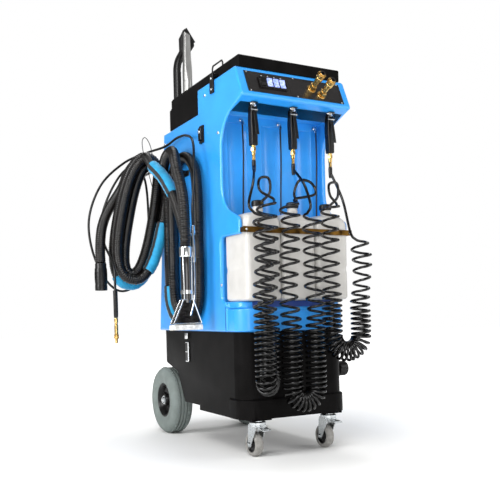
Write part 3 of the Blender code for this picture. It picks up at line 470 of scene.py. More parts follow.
def slab(low, high, radius=0.0, segments=2, place=None):
    """A box between two corners with rounded edges."""
    bm = bmesh.new()
    bmesh.ops.create_cube(bm, size=1.0)
    low, high = Vector(low), Vector(high)
    bmesh.ops.scale(bm, vec=high - low, verts=bm.verts)
    bmesh.ops.translate(bm, vec=(low + high) / 2, verts=bm.verts)
    if radius:
        round_edges(bm, radius, segments)
    if place:
        bmesh.ops.transform(bm, matrix=place, verts=bm.verts)
    return bm


def prism(outline, depth, radius=0.0, segments=2, place=None, taper=1.0):
    """A flat outline (x, y) given a depth along Z, with rounded edges; taper narrows the far face."""
    bm = bmesh.new()
    faces = []
    for z, share in ((-depth / 2, 1.0), (depth / 2, taper)):
        faces.append([bm.verts.new((x * share, y * share, z)) for x, y in outline])
    bm.faces.new(faces[0][::-1])
    bm.faces.new(faces[1])
    strip(bm, *faces)
    bmesh.ops.recalc_face_normals(bm, faces=bm.faces)
    if radius:
        round_edges(bm, radius, segments)
    if place:
        bmesh.ops.transform(bm, matrix=place, verts=bm.verts)
    return bm


def strip(bm, lower, upper):
    """Faces between two rings with the same number of points."""
    for i in range(len(lower)):
        j = (i + 1) % len(lower)
        bm.faces.new((lower[i], lower[j], upper[j], upper[i]))


def tube(points, radius, sides=12, flat=1.0, across=None):
    """A tube along points with closed ends. flat squashes it across the given direction."""
    points = [Vector(p) for p in points]
    bm = bmesh.new()
    rings = []
    guide = None
    for i, point in enumerate(points):
        ahead = points[min(i + 1, len(points) - 1)] - points[max(i - 1, 0)]
        ahead.normalize()
        if across is not None:
            guide = Vector(across)
        elif guide is None:
            guide = ahead.orthogonal()
        side = (guide - ahead * guide.dot(ahead)).normalized()
        guide = side
        up = ahead.cross(side)
        size = radius[i] if isinstance(radius, (list, tuple)) else radius
        ring = []
        for k in range(sides):
            a = 2 * math.pi * k / sides
            ring.append(bm.verts.new(point + side * size * math.cos(a) + up * size * flat * math.sin(a)))
        rings.append(ring)
    for lower, upper in zip(rings, rings[1:]):
        strip(bm, lower, upper)
    bm.faces.new(rings[0][::-1])
    bm.faces.new(rings[-1])
    bmesh.ops.recalc_face_normals(bm, faces=bm.faces)
    return bm


def squared(angle, half_x, half_y, squareness):
    """A point of an oval at an angle in radians; squareness 2 is an ellipse, more is squarer."""
    c, s = math.cos(angle), math.sin(angle)
    power = 2 / squareness
    return half_x * math.copysign(abs(c) ** power, c), half_y * math.copysign(abs(s) ** power, s)


def arc(centre, radius, start, end, steps):
    """Points of a circular arc in a plane, angles in degrees, both ends included."""
    angles = [math.radians(start + (end - start) * i / steps) for i in range(steps + 1)]
    return [(centre[0] + radius * math.cos(a), centre[1] + radius * math.sin(a)) for a in angles]


def smooth_route(points, spacing):
    """Evenly spaced points on a Catmull-Rom curve through the given points."""
    points = [Vector(p) for p in points]
    ends = [points[0] * 2 - points[1]] + points + [points[-1] * 2 - points[-2]]
    dense = []
    for a, b, c, d in zip(ends, ends[1:], ends[2:], ends[3:]):
        for i in range(16):
            t = i / 16
            dense.append(0.5 * (2 * b + (c - a) * t + (2 * a - 5 * b + 4 * c - d) * t * t
                                + (3 * b - a - 3 * c + d) * t ** 3))
    dense.append(points[-1])
    return evenly(dense, spacing)


def evenly(points, spacing):
    """The same line with its points a steady distance apart."""
    lengths = [0.0]
    for a, b in zip(points, points[1:]):
        lengths.append(lengths[-1] + (b - a).length)
    count = max(2, round(lengths[-1] / spacing))
    path = []
    k = 0
    for i in range(count + 1):
        wanted = lengths[-1] * i / count
        while k < len(points) - 2 and lengths[k + 1] < wanted:
            k += 1
        share = (wanted - lengths[k]) / max(lengths[k + 1] - lengths[k], 1e-9)
        path.append(points[k].lerp(points[k + 1], min(share, 1.0)))
    return path


def length_of(points):
    return sum((b - a).length for a, b in zip(points, points[1:]))


ALONG_X = Matrix.Rotation(math.radians(90), 4, "Y")
ALONG_Y = Matrix.Rotation(math.radians(-90), 4, "X")
OUT_OF_PANEL = Matrix.Rotation(math.radians(90), 4, "X")
# an outline's x and y become the machine's Y and Z, its depth X
SIDE_VIEW = Matrix(((0, 0, 1, 0), (1, 0, 0, 0), (0, 1, 0, 0), (0, 0, 0, 1)))
# an outline's x and y become the machine's X and Z, its depth Y
FRONT_VIEW = Matrix(((1, 0, 0, 0), (0, 0, -1, 0), (0, 1, 0, 0), (0, 0, 0, 1)))


def moved(x, y, z):
    return Matrix.Translation(at(x, y, z))


# ---------------------------------------------------------------- pieces
def looks_collection():
    found = bpy.data.collections.get("extractor looks")
    if found is None:
        found = bpy.data.collections.new("extractor looks")
        bpy.context.scene.collection.children.link(found)
    return found


def even_shading(piece):
    """Weigh the shading by face size, so that wide faces stay flat beside their rounded edges."""
    modifier = piece.modifiers.new("even shading", "WEIGHTED_NORMAL")
    modifier.keep_sharp = True
    seen = piece.evaluated_get(bpy.context.evaluated_depsgraph_get())
    mesh = bpy.data.meshes.new_from_object(seen)
    piece.modifiers.remove(modifier)
    plain = piece.data
    piece.data = mesh
    bpy.data.meshes.remove(plain)
    mesh.name = piece.name


def add_piece(name, look, *shapes, smooth=40):
    """One mesh object from the given shapes, shaded smooth up to an angle in degrees."""
    mesh = bpy.data.meshes.new(name)
    whole = bmesh.new()
    for shape in shapes:
        shape.to_mesh(mesh)
        whole.from_mesh(mesh)
        shape.free()
    whole.to_mesh(mesh)
    whole.free()
    mesh.shade_smooth()
    mesh.set_sharp_from_angle(angle=math.radians(smooth))
    mesh.materials.clear()
    mesh.materials.append(finish_of(look))
    piece = bpy.data.objects.new(name, mesh)
    looks_collection().objects.link(piece)
    even_shading(piece)
    return piece


def settle(piece, body, nodes):
    """Let a piece ride on a body and stand for CAD nodes."""
    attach(piece, body)
    if nodes:
        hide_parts(*nodes)
    return piece


def put(name, look, *shapes, body="machine", nodes=(), slot=None, smooth=40):
    """Make a piece and settle it."""
    return settle(add_piece(name, look, *shapes, smooth=smooth), body, nodes)


def node_shape(node):
    """A welded copy of a CAD node's shape, with its flat faces made whole again."""
    bm = bmesh.new()
    bm.from_mesh(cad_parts[node].data)
    bmesh.ops.remove_doubles(bm, verts=bm.verts, dist=0.00005)
    bmesh.ops.dissolve_limit(bm, angle_limit=math.radians(0.8), verts=bm.verts, edges=bm.edges)
    return bm


def grid_result(name, tree, values, source=None):
    """Run a geometry tree on an object, return its result as plain geometry and remove the object."""
    holder = source or bpy.data.objects.new(name, bpy.data.meshes.new(name))
    if not holder.users_collection:
        bpy.context.scene.collection.objects.link(holder)
    modifier = holder.modifiers.new("shape", "NODES")
    modifier.node_group = tree
    sockets = {s.name: s.identifier for s in tree.interface.items_tree if s.in_out == "INPUT"}
    for label, value in values.items():
        modifier[sockets[label]] = value
    seen = holder.evaluated_get(bpy.context.evaluated_depsgraph_get())
    mesh = bpy.data.meshes.new_from_object(seen)
    bpy.data.objects.remove(holder, do_unlink=True)
    bm = bmesh.new()
    bm.from_mesh(mesh)
    bpy.data.meshes.remove(mesh)
    return bm


def new_tree(name, inputs):
    """A geometry tree with the named inputs (socket kind, name) after its geometry input."""
    tree = bpy.data.node_groups.new(name, "GeometryNodeTree")
    tree.interface.new_socket("Geometry", in_out="INPUT", socket_type="NodeSocketGeometry")
    for kind, label in inputs:
        tree.interface.new_socket(label, in_out="INPUT", socket_type=kind)
    tree.interface.new_socket("Geometry", in_out="OUTPUT", socket_type="NodeSocketGeometry")
    return tree, add_node(tree, "NodeGroupInput").outputs


def end_tree(tree, geometry, look_input):
    """Make instances real, give them their material and lead them out of the tree."""
    real = add_node(tree, "GeometryNodeRealizeInstances", {0: geometry})
    painted = add_node(tree, "GeometryNodeSetMaterial",
                       {"Geometry": real.outputs[0], "Material": look_input})
    out = add_node(tree, "NodeGroupOutput")
    tree.links.new(painted.outputs[0], out.inputs[0])


def ring_tree():
    """Blocks round a circle, each facing outwards: treads, grip ribs and knurls."""
    found = bpy.data.node_groups.get("ring of blocks")
    if found:
        return found
    tree, inputs = new_tree("ring of blocks", [
        ("NodeSocketInt", "Count"), ("NodeSocketFloat", "Ring Radius"), ("NodeSocketVector", "Block Size"),
        ("NodeSocketFloat", "Skew"), ("NodeSocketMaterial", "Material")])
    circle = add_node(tree, "GeometryNodeMeshCircle",
                      {"Vertices": inputs["Count"], "Radius": inputs["Ring Radius"]})
    block = add_node(tree, "GeometryNodeMeshCube", {"Size": inputs["Block Size"]})
    position = add_node(tree, "GeometryNodeInputPosition")
    facing = add_node(tree, "FunctionNodeAlignRotationToVector", {"Vector": position.outputs[0]}, axis="X")
    turn = add_node(tree, "ShaderNodeCombineXYZ", {"X": inputs["Skew"]})
    skew = add_node(tree, "FunctionNodeEulerToRotation", {0: turn.outputs[0]})
    both = add_node(tree, "FunctionNodeRotateRotation", {0: facing.outputs[0], 1: skew.outputs[0]},
                    rotation_space="LOCAL")
    copies = add_node(tree, "GeometryNodeInstanceOnPoints", {"Points": circle.outputs["Mesh"],
            "Instance": block.outputs["Mesh"], "Rotation": both.outputs[0]})
    end_tree(tree, copies.outputs["Instances"], inputs["Material"])
    return tree


def ring_of_blocks(count, radius, size, look, place, skew=0.0):
    bm = grid_result("ring", ring_tree(), {"Count": count, "Ring Radius": radius, "Block Size": size,
            "Skew": skew, "Material": finish_of(look)})
    bmesh.ops.transform(bm, matrix=place, verts=bm.verts)
    return bm


def screw_tree():
    """A bevelled screw head on every point of the given mesh, all facing one way."""
    found = bpy.data.node_groups.get("screw heads")
    if found:
        return found
    tree, inputs = new_tree("screw heads", [
        ("NodeSocketFloat", "Head Radius"), ("NodeSocketFloat", "Head Height"),
        ("NodeSocketVector", "Facing"), ("NodeSocketMaterial", "Material")])
    top = add_node(tree, "ShaderNodeMath", {0: inputs["Head Radius"], 1: 0.72}, operation="MULTIPLY")
    head = add_node(tree, "GeometryNodeMeshCone", {"Vertices": 20, "Radius Top": top.outputs[0],
            "Radius Bottom": inputs["Head Radius"], "Depth": inputs["Head Height"]})
    socket = add_node(tree, "ShaderNodeMath", {0: inputs["Head Radius"], 1: 0.34}, operation="MULTIPLY")
    drive = add_node(tree, "GeometryNodeMeshCylinder", {"Vertices": 6, "Radius": socket.outputs[0],
            "Depth": inputs["Head Height"]})
    rise = add_node(tree, "ShaderNodeMath", {0: inputs["Head Height"], 1: 0.62}, operation="MULTIPLY")
    lift = add_node(tree, "ShaderNodeCombineXYZ", {"Z": rise.outputs[0]})
    raised = add_node(tree, "GeometryNodeTransform", {"Geometry": drive.outputs["Mesh"],
            "Translation": lift.outputs[0]})
    whole = add_node(tree, "GeometryNodeJoinGeometry")
    tree.links.new(head.outputs["Mesh"], whole.inputs[0])
    tree.links.new(raised.outputs[0], whole.inputs[0])
    facing = add_node(tree, "FunctionNodeAlignRotationToVector", {"Vector": inputs["Facing"]}, axis="Z")
    copies = add_node(tree, "GeometryNodeInstanceOnPoints", {"Points": inputs["Geometry"],
            "Instance": whole.outputs[0], "Rotation": facing.outputs[0]})
    end_tree(tree, copies.outputs["Instances"], inputs["Material"])
    return tree


def screws(points, radius, height, facing, look=ZINC):
    mesh = bpy.data.meshes.new("screw_places")
    mesh.from_pydata([tuple(p) for p in points], [], [])
    source = bpy.data.objects.new("screw_places", mesh)
    return grid_result("screws", screw_tree(), {"Head Radius": radius, "Head Height": height,
            "Facing": tuple(facing), "Material": finish_of(look)}, source)


def corrugated_tree():
    """A ribbed hose along a curve: its radius rises and falls once in every rib pitch."""
    found = bpy.data.node_groups.get("corrugated hose")
    if found:
        return found
    tree, inputs = new_tree("corrugated hose", [
        ("NodeSocketFloat", "Radius"), ("NodeSocketFloat", "Rib Pitch"), ("NodeSocketFloat", "Rib Depth"),
        ("NodeSocketMaterial", "Material")])
    step = add_node(tree, "ShaderNodeMath", {0: inputs["Rib Pitch"], 1: 4.0}, operation="DIVIDE")
    route = add_node(tree, "GeometryNodeMeshToCurve", {"Mesh": inputs["Geometry"]})
    line = add_node(tree, "GeometryNodeResampleCurve",
                    {"Curve": route.outputs[0], "Length": step.outputs[0]}, mode="LENGTH")
    along = add_node(tree, "GeometryNodeSplineParameter")
    turns = add_node(tree, "ShaderNodeMath", {0: along.outputs["Length"], 1: inputs["Rib Pitch"]},
                     operation="DIVIDE")
    angle = add_node(tree, "ShaderNodeMath", {0: turns.outputs[0], 1: 2 * math.pi}, operation="MULTIPLY")
    wave = add_node(tree, "ShaderNodeMath", {0: angle.outputs[0]}, operation="SINE")
    rib = add_node(tree, "ShaderNodeMath", {0: wave.outputs[0], 1: inputs["Rib Depth"]},
                   operation="MULTIPLY")
    middle = add_node(tree, "ShaderNodeMath", {0: inputs["Radius"], 1: inputs["Rib Depth"]},
                      operation="SUBTRACT")
    size = add_node(tree, "ShaderNodeMath", {0: rib.outputs[0], 1: middle.outputs[0]}, operation="ADD")
    ring = add_node(tree, "GeometryNodeCurvePrimitiveCircle", {"Resolution": 18, "Radius": 1.0})
    swept = add_node(tree, "GeometryNodeCurveToMesh", {"Curve": line.outputs[0],
            "Profile Curve": ring.outputs[0], "Scale": size.outputs[0], "Fill Caps": True})
    end_tree(tree, swept.outputs[0], inputs["Material"])
    return tree


def curve_of(name, points, radius=0.0, resolution=3):
    """A curve object of one open spline through the points."""
    curve = bpy.data.curves.new(name, "CURVE")
    curve.dimensions = "3D"
    curve.bevel_depth = radius
    curve.bevel_resolution = resolution
    curve.use_fill_caps = radius > 0
    spline = curve.splines.new("POLY")
    spline.points.add(len(points) - 1)
    for point, place in zip(spline.points, points):
        point.co = (*place, 1.0)
    return bpy.data.objects.new(name, curve)


def add_cord(name, look, points, radius, resolution=3):
    cord = curve_of(name, points, radius, resolution)
    looks_collection().objects.link(cord)
    cord.data.materials.append(finish_of(look))
    return cord


# ---------------------------------------------------------------- hose routes
def side_turn(radius, start, end, steps, x=SIDE_HANK_X, end_radius=None):
    """Points of the side hank's half circles; angles in degrees from +Y towards +Z."""
    points = []
    for i in range(steps + 1):
        share = i / steps
        a = math.radians(start + (end - start) * share)
        r = radius + ((end_radius or radius) - radius) * share
        lift = 0.175 if math.sin(a) >= -1e-6 else -0.175
        points.append(at(x, SIDE_HANK[0] + r * math.cos(a), SIDE_HANK[1] + lift + r * math.sin(a)))
    return points


def rear_turn_point(angle, y, half=(0.08, 0.23)):
    """A point of the rear hank, a leaning squared oval; the angle is in degrees from +X towards +Z."""
    across, up = squared(math.radians(angle), *half, 2.5)
    cosine, sine = math.cos(REAR_HANK_TILT), math.sin(REAR_HANK_TILT)
    return at(REAR_HANK[0] + across * cosine + up * sine, y, REAR_HANK[1] - across * sine + up * cosine)


# the rear hank's turns: last angle, place from front to back, half width and half height
REAR_TURNS = [(460, 0.219, 0.081, 0.231), (820, 0.2395, 0.045, 0.207), (1180, 0.26, 0.083, 0.245),
              (1400, 0.2975, 0.081, 0.233)]


def rear_strand(angle):
    """A point of the hose in the rear hank: it slides from one turn to the next near the top."""
    previous = None
    for last, *layout in REAR_TURNS:
        if previous is not None:
            share = min(1.0, max(0.0, (angle - (previous_last - 75)) / 75))
            share = 3 * share ** 2 - 2 * share ** 3
            layout = [a + (b - a) * share for a, b in zip(previous, layout)]
        previous, previous_last = layout, last
    y, half_width, half_height = layout
    return rear_turn_point(angle, y, (half_width, half_height))


def vacuum_route():
    points = [at(-0.306, -0.14, 0.6903), at(-0.306, -0.14, 0.74), at(-0.305, -0.124, 0.86),
              at(-0.306, -0.08, 0.96), at(-0.292, -0.026, 1.018), at(-0.273, 0.045, 1.044),
              at(-0.27, 0.105, 1.03), at(-0.257, 0.16, 0.98)]
    points += [at(SIDE_HANK_X, 0.181, z) for z in (0.9, 0.74, 0.6)]
    points += side_turn(0.131, 0, -180, 10)[1:-1]
    points += [at(SIDE_HANK_X, -0.081, z) for z in (0.6, 0.74, 0.88)]
    points += side_turn(0.131, 180, 0, 10, end_radius=0.092)[1:]
    points += [at(SIDE_HANK_X, 0.142, z) for z in (0.83, 0.7, 0.59)]
    points += side_turn(0.092, 0, -180, 8)[1:-1]
    points += [at(SIDE_HANK_X, -0.042, 0.59), at(-0.24, -0.042, 0.67), at(-0.264, -0.028, 0.77),
               at(-0.273, 0.02, 0.875), at(-0.284, 0.085, 0.955), at(-0.304, 0.145, 1.01),
               at(-0.309, 0.186, 1.048)]
    points += [rear_strand(angle) for angle in range(112, 1252, 15)]
    points += [at(-0.43, 0.288, 0.86), at(-0.462, 0.268, 0.79), at(-0.476, 0.248, 0.715),
               at(-0.478, 0.24, 0.66)]
    return smooth_route(points, 0.012)


def solution_route():
    points = [(-0.279, -0.144, 0.7603), (-0.279, -0.144, 0.8203), (-0.266, -0.132, 0.93),
              (-0.246, -0.088, 1.05), (-0.226, 0.01, 1.098), (-0.226, 0.1, 1.108), (-0.232, 0.2, 1.098),
              (-0.27, 0.312, 1.092), (-0.35, 0.328, 1.052), (-0.44, 0.328, 0.965), (-0.492, 0.322, 0.84),
              (-0.486, 0.32, 0.72), (-0.44, 0.32, 0.61), (-0.375, 0.322, 0.56), (-0.3, 0.322, 0.6),
              (-0.262, 0.324, 0.72), (-0.256, 0.328, 0.88), (-0.266, 0.334, 1.0), (-0.305, 0.336, 1.045),
              (-0.36, 0.332, 1.01), (-0.415, 0.328, 0.92), (-0.448, 0.322, 0.82), (-0.45, 0.28, 0.735),
              (-0.44, 0.208, 0.65), (-0.442, 0.19, 0.56), (-0.442, 0.188, 0.5), (-0.442, 0.188, 0.46)]
    return smooth_route([at(*p) for p in points], 0.014)


# gun, jug-side leg (x, y), gun-side leg (x, y), lowest centre z, gun-side top z
COILS = [
    (0, (-0.146, -0.404), (-0.193, -0.459), 0.28, 0.77),
    (1, (-0.072, -0.415), (0.005, -0.432), 0.224, 0.775),
    (2, (0.087, -0.41), (0.186, -0.43), 0.384, 0.7),
]


def coil_axis(near, far, low, near_top, top):
    """Centre line of a coil that hangs in a U between its two legs."""
    near, far = Vector((*near, 0.0)), Vector((*far, 0.0))
    middle, half = (near + far) / 2, (far - near) / 2
    up = Vector((0.0, 0.0, 1.0))
    line = [near + up * near_top, near + up * low]
    for angle in range(15, 180, 15):
        a = math.radians(angle)
        line.append(middle - half * math.cos(a) + up * (low - half.length * math.sin(a)))
    line += [far + up * low, far + up * top]
    return evenly(line, 0.001)


def coil_route(number):
    """The whole coiled hose: over the rail from its jug's cap, down, round and up to its gun."""
    settings = bpy.context.scene.extractor.coil
    gun, near, far, low, top = COILS[number]
    near_top = 0.808
    axis = coil_axis(near, far, low, near_top, top)
    open_near, open_far = (near_top - low) * 0.6, (top - low) * 0.55
    reach = 0.001
    total = length_of(axis)
    bottom = near_top - low + math.pi * (Vector(far) - Vector(near)).length / 4
    radius = COIL_R - settings.tube_diameter / 2 - 0.0008
    tube_points = []
    phase = 0.0
    done = 0.0
    side = Vector((1.0, 0.0, 0.0))
    next_phase = 0.0
    for i, point in enumerate(axis[1:-1], 1):
        done += (axis[i] - axis[i - 1]).length
        ahead = (axis[i + 1] - axis[i - 1]).normalized()
        side = (side - ahead * side.dot(ahead)).normalized()
        across = ahead.cross(side)
        calm = max(0.0, min(1.0, (done - open_near) / 0.07)) * max(0.0,
                min(1.0, (total - open_far - done) / 0.07))
        pitch = settings.open_pitch + (settings.close_pitch - settings.open_pitch) * calm ** 0.5
        # round the bottom of the U the turns bunch up
        pitch *= 1.0 - 0.34 * math.exp(-((done - bottom) / 0.06) ** 2)
        # the open turns differ a little from one to the next
        pitch *= 1.0 + 0.14 * (1 - calm) * math.sin(done * 61 + number * 2.1)
        size = radius * (1.0 + 0.06 * (1 - calm) * math.sin(done * 37 + number) - 0.06 * (1 - calm))
        sway = Vector((math.sin(done * 13 + number * 1.7), math.cos(done * 17 + number), 0.0))
        sway *= 0.006 * (1 - calm) * min(1.0, done / 0.05, (total - done) / 0.05)
        phase += reach / pitch
        while next_phase <= phase:
            a = 2 * math.pi * next_phase
            tube_points.append(point + sway + (side * math.cos(a) + across * math.sin(a)) * size)
            next_phase += 1 / 16
    shift = at(0.0, 0.0, 0.0)
    tube_points = [p + shift for p in tube_points]
    cap = at((number - 1) * JUG_PITCH, CAP_Y - 0.0195, 0.8165)
    first = tube_points[0]
    heading = (tube_points[2] - tube_points[0]).normalized()
    lean = (1, -1, 1)[number]
    arrive = first - heading * 0.026 + Vector((0.0, 0.0, 0.012))
    loop = [cap, cap + Vector((0.0, -0.012, 0.003)), cap + Vector((lean * 0.02, -0.026, 0.03)),
            cap + Vector((lean * 0.008, -0.04, 0.07)), cap + Vector((-lean * 0.03, -0.05, 0.064)),
            cap + Vector((-lean * 0.036, -0.062, 0.026)), arrive, first]
    lead_in = smooth_route(loop, 0.006)
    gun_end = at(GUN_X[gun], GUN_Y, GUN_BARB_Z - 0.0003)
    last = tube_points[-1]
    heading = (tube_points[-1] - tube_points[-3]).normalized()
    leave = last + heading * 0.022 + Vector((0.0, 0.0, 0.02))
    bow = leave.lerp(gun_end, 0.5) + Vector((0.0, -0.012, 0.0))
    lead_out = smooth_route([last, leave, bow, gun_end + Vector((0.0, 0.0, -0.014)), gun_end], 0.009)
    return lead_in[:-1] + tube_points + lead_out[1:]


# the camera: place, yaw, pitch and roll in degrees, lens, and the lens's shift up
CAMERA_PLACE = (-1.2515, -2.3443, 0.469)
CAMERA_TURN = (28.57, -0.51, -1.33)
LENS_MM = 51.9
CAMERA_SHIFT = 0.137
FLOOR_RADIUS = 14.0
LIGHTS_AIM = Vector((0.0, -0.1, 0.75))


# ---------------------------------------------------------------- making each piece
class MakeStage(bpy.types.Operator):
    """Make the camera, the pale floor, the white backdrop and the soft lights."""
    bl_idname = "extractor.stage"
    bl_label = "Stage"

    def execute(self, context):
        settings = context.scene.extractor.stage
        camera = bpy.data.objects.new("camera", bpy.data.cameras.new("camera"))
        camera.data.lens = LENS_MM
        camera.data.sensor_width = 36.0
        camera.data.shift_y = CAMERA_SHIFT
        camera.data.clip_start = 0.05
        yaw, pitch, roll = (math.radians(angle) for angle in CAMERA_TURN)
        ahead = Vector((math.sin(yaw) * math.cos(pitch), math.cos(yaw) * math.cos(pitch), math.sin(pitch)))
        right = Vector((math.cos(yaw), -math.sin(yaw), 0.0))
        up = right.cross(ahead)
        turned_right = right * math.cos(roll) + up * math.sin(roll)
        turned_up = up * math.cos(roll) - right * math.sin(roll)
        camera.matrix_world = Matrix((turned_right, turned_up, -ahead)).transposed().to_4x4()
        camera.location = CAMERA_PLACE
        context.scene.collection.objects.link(camera)
        context.scene.camera = camera
        self.make_floor(context, settings)
        self.make_lights(context, settings)
        return {"FINISHED"}

    def make_floor(self, context, settings):
        tree, shader = new_finish("seamless paper", settings.floor_colour, 0.8, Specular_IOR_Level=0.1,
                Emission_Color=(1.0, 1.0, 1.0, 1.0))
        mottle(tree, shader, scaled(settings.floor_colour, 0.99), settings.floor_colour, 400)
        # the floor glows more away from the object, so that it runs into the white backdrop
        coords = add_node(tree, "ShaderNodeTexCoord")
        away = add_node(tree, "ShaderNodeVectorMath", {0: coords.outputs["Object"]}, operation="LENGTH")
        glow = add_node(tree, "ShaderNodeMapRange", {"Value": away.outputs["Value"], "From Min": 0.5,
                "From Max": 2.6, "To Min": 0.0, "To Max": 0.95})
        tree.links.new(glow.outputs["Result"], shader.inputs["Emission Strength"])
        bm = bmesh.new()
        bmesh.ops.create_circle(bm, cap_ends=True, radius=FLOOR_RADIUS, segments=64)
        mesh = bpy.data.meshes.new("floor")
        bm.to_mesh(mesh)
        bm.free()
        mesh.materials.append(bpy.data.materials["seamless paper"])
        floor = bpy.data.objects.new("floor", mesh)
        floor.location.z = -0.0005
        context.scene.collection.objects.link(floor)

    def make_lights(self, context, settings):
        world = bpy.data.worlds.new("studio")
        context.scene.world = world
        world.use_nodes = True
        # the backdrop is seen white, and lights the object less than it shows, as paper far behind does
        path = add_node(world.node_tree, "ShaderNodeLightPath")
        strength = add_node(world.node_tree, "ShaderNodeMapRange", {"Value": path.outputs["Is Camera Ray"],
                "To Min": 0.3, "To Max": 1.0})
        background = world.node_tree.nodes["Background"]
        background.inputs["Color"].default_value = (1.0, 1.0, 1.0, 1.0)
        world.node_tree.links.new(strength.outputs["Result"], background.inputs["Strength"])
        context.scene.view_settings.view_transform = "Standard"
        lights = [("key", (-1.9, -2.6, 2.6), 1.6, settings.key_power),
                  ("fill", (2.6, -2.0, 1.6), 1.8, settings.key_power * 0.35),
                  ("left strip", (-2.9, -0.5, 1.3), 1.2, settings.key_power * 0.75),
                  ("low", (-0.6, -2.2, 0.12), 1.4, settings.key_power * 0.2),
                  ("top", (0.2, 0.2, 3.2), 1.6, settings.key_power * 0.45),
                  ("back", (1.2, 2.8, 2.4), 1.6, settings.key_power * 0.4)]
        for name, place, size, power in lights:
            light = bpy.data.lights.new(name, "AREA")
            light.size = size
            light.energy = power
            holder = bpy.data.objects.new(name, light)
            holder.location = place
            aim = LIGHTS_AIM - Vector(place)
            holder.rotation_euler = aim.to_track_quat("-Z", "Y").to_euler()
            context.scene.collection.objects.link(holder)


def sleeve_shape(path, centre, reach, radius):
    """A padded cuff round part of a hose, a little drawn in at both ends and creased along it."""
    middle = min(range(len(path)), key=lambda i: (path[i] - centre).length)
    low, high = middle, middle
    while length_of(path[low:high + 1]) < reach:
        low, high = max(low - 1, 0), min(high + 1, len(path) - 1)
    part = evenly(path[low:high + 1], 0.005)
    sizes = []
    for i in range(len(part)):
        share = i / (len(part) - 1)
        pull = 1.0 - 0.11 * math.exp(-share * 26) - 0.11 * math.exp(-(1 - share) * 26)
        crease = 0.0005 * math.sin(i * 1.9) + 0.0004 * math.sin(i * 0.83 + 1.0)
        sizes.append(radius * pull + crease)
    return part, sizes


class MakeVacuumHose(bpy.types.Operator):
    """Make the ribbed vacuum hose, its neoprene sleeves and its loose cuff."""
    bl_idname = "extractor.vacuum_hose"
    bl_label = "Vacuum hose"

    def execute(self, context):
        settings = context.scene.extractor.hose
        path = vacuum_route()
        mesh = bpy.data.meshes.new("hose_line")
        mesh.from_pydata([tuple(p) for p in path], [(i, i + 1) for i in range(len(path) - 1)], [])
        shape = grid_result("vacuum_hose", corrugated_tree(), {"Radius": HOSE_R + 0.0002,
                "Rib Pitch": settings.rib_pitch, "Rib Depth": settings.rib_depth,
                "Material": finish_of(VINYL)}, bpy.data.objects.new("hose_line", mesh))
        hose = put("vacuum_hose", VINYL, shape, smooth=60, nodes=("hose_hank_side", "hose_hank_rear",
                "vacuum_hose_lead", "vacuum_hose_tail"))
        self.make_tie()
        loose = self.make_sleeves(path) + [self.make_cuff(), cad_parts["upholstery_tool"]]
        return {"FINISHED"}

    def make_tie(self):
        """A thin coated wire looped over the rear peg, which holds the hank together."""
        route = [at(-0.284, 0.196, 0.93), at(-0.3, 0.196, 0.99), at(-0.318, 0.196, 1.06),
                 at(-0.322, 0.198, 1.11), at(-0.308, 0.2, 1.125), at(-0.29, 0.199, 1.095),
                 at(-0.281, 0.197, 1.04), at(-0.2812, 0.196, 1.0075)]
        put("hank_tie", NYLON, tube(smooth_route(route, 0.008), 0.0015, 8))

    def make_sleeves(self, path):
        places = [(at(-0.284, 0.085, 0.955), 0.165), (rear_strand(340), 0.19),
                  (rear_strand(288 + 720), 0.15), (at(SIDE_HANK_X, 0.168, 0.505), 0.13)]
        made = []
        for number, (centre, reach) in enumerate(places, 1):
            part, sizes = sleeve_shape(path, centre, reach, 0.0232)
            sleeve = put(f"hose_sleeve_{number}", NEOPRENE, tube(part, sizes, 24), smooth=50)
            along = (part[-1] - part[0]).normalized()
            outward = Vector((-1.0, -0.35, 0.0))
            outward = (outward - along * outward.dot(along)).normalized()
            seam = tube([p + outward * (size - 0.0006) for p, size in zip(part, sizes)], 0.0075, 8, 0.22,
                        outward.cross(along))
            tape = put(f"sleeve_seam_{number}", TAPE, seam)
            made += [sleeve, tape]
        return made

    def make_cuff(self):
        low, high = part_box("hose_cuff")
        middle = (low + high) / 2
        height = high.z - low.z
        profile = [(0.019, height), (0.0205, height - 0.002), (0.0205, height - 0.016),
                   (0.0225, height - 0.022), (0.0225, 0.03), (0.0215, 0.024), (0.0222, 0.018),
                   (0.0222, 0.002), (0.021, 0.0), (0.018, 0.0), (0.0175, 0.004), (0.017, height - 0.01)]
        bm = lathe(profile, 32, Matrix.Translation((middle.x, middle.y, low.z)))
        ribs = ring_of_blocks(28, 0.0224, (0.0012, 0.0022, 0.03), NYLON,
                              Matrix.Translation((middle.x, middle.y, low.z + 0.052)))
        return put("vacuum_cuff", NYLON, bm, ribs, nodes=("hose_cuff",), slot="black_rubber")


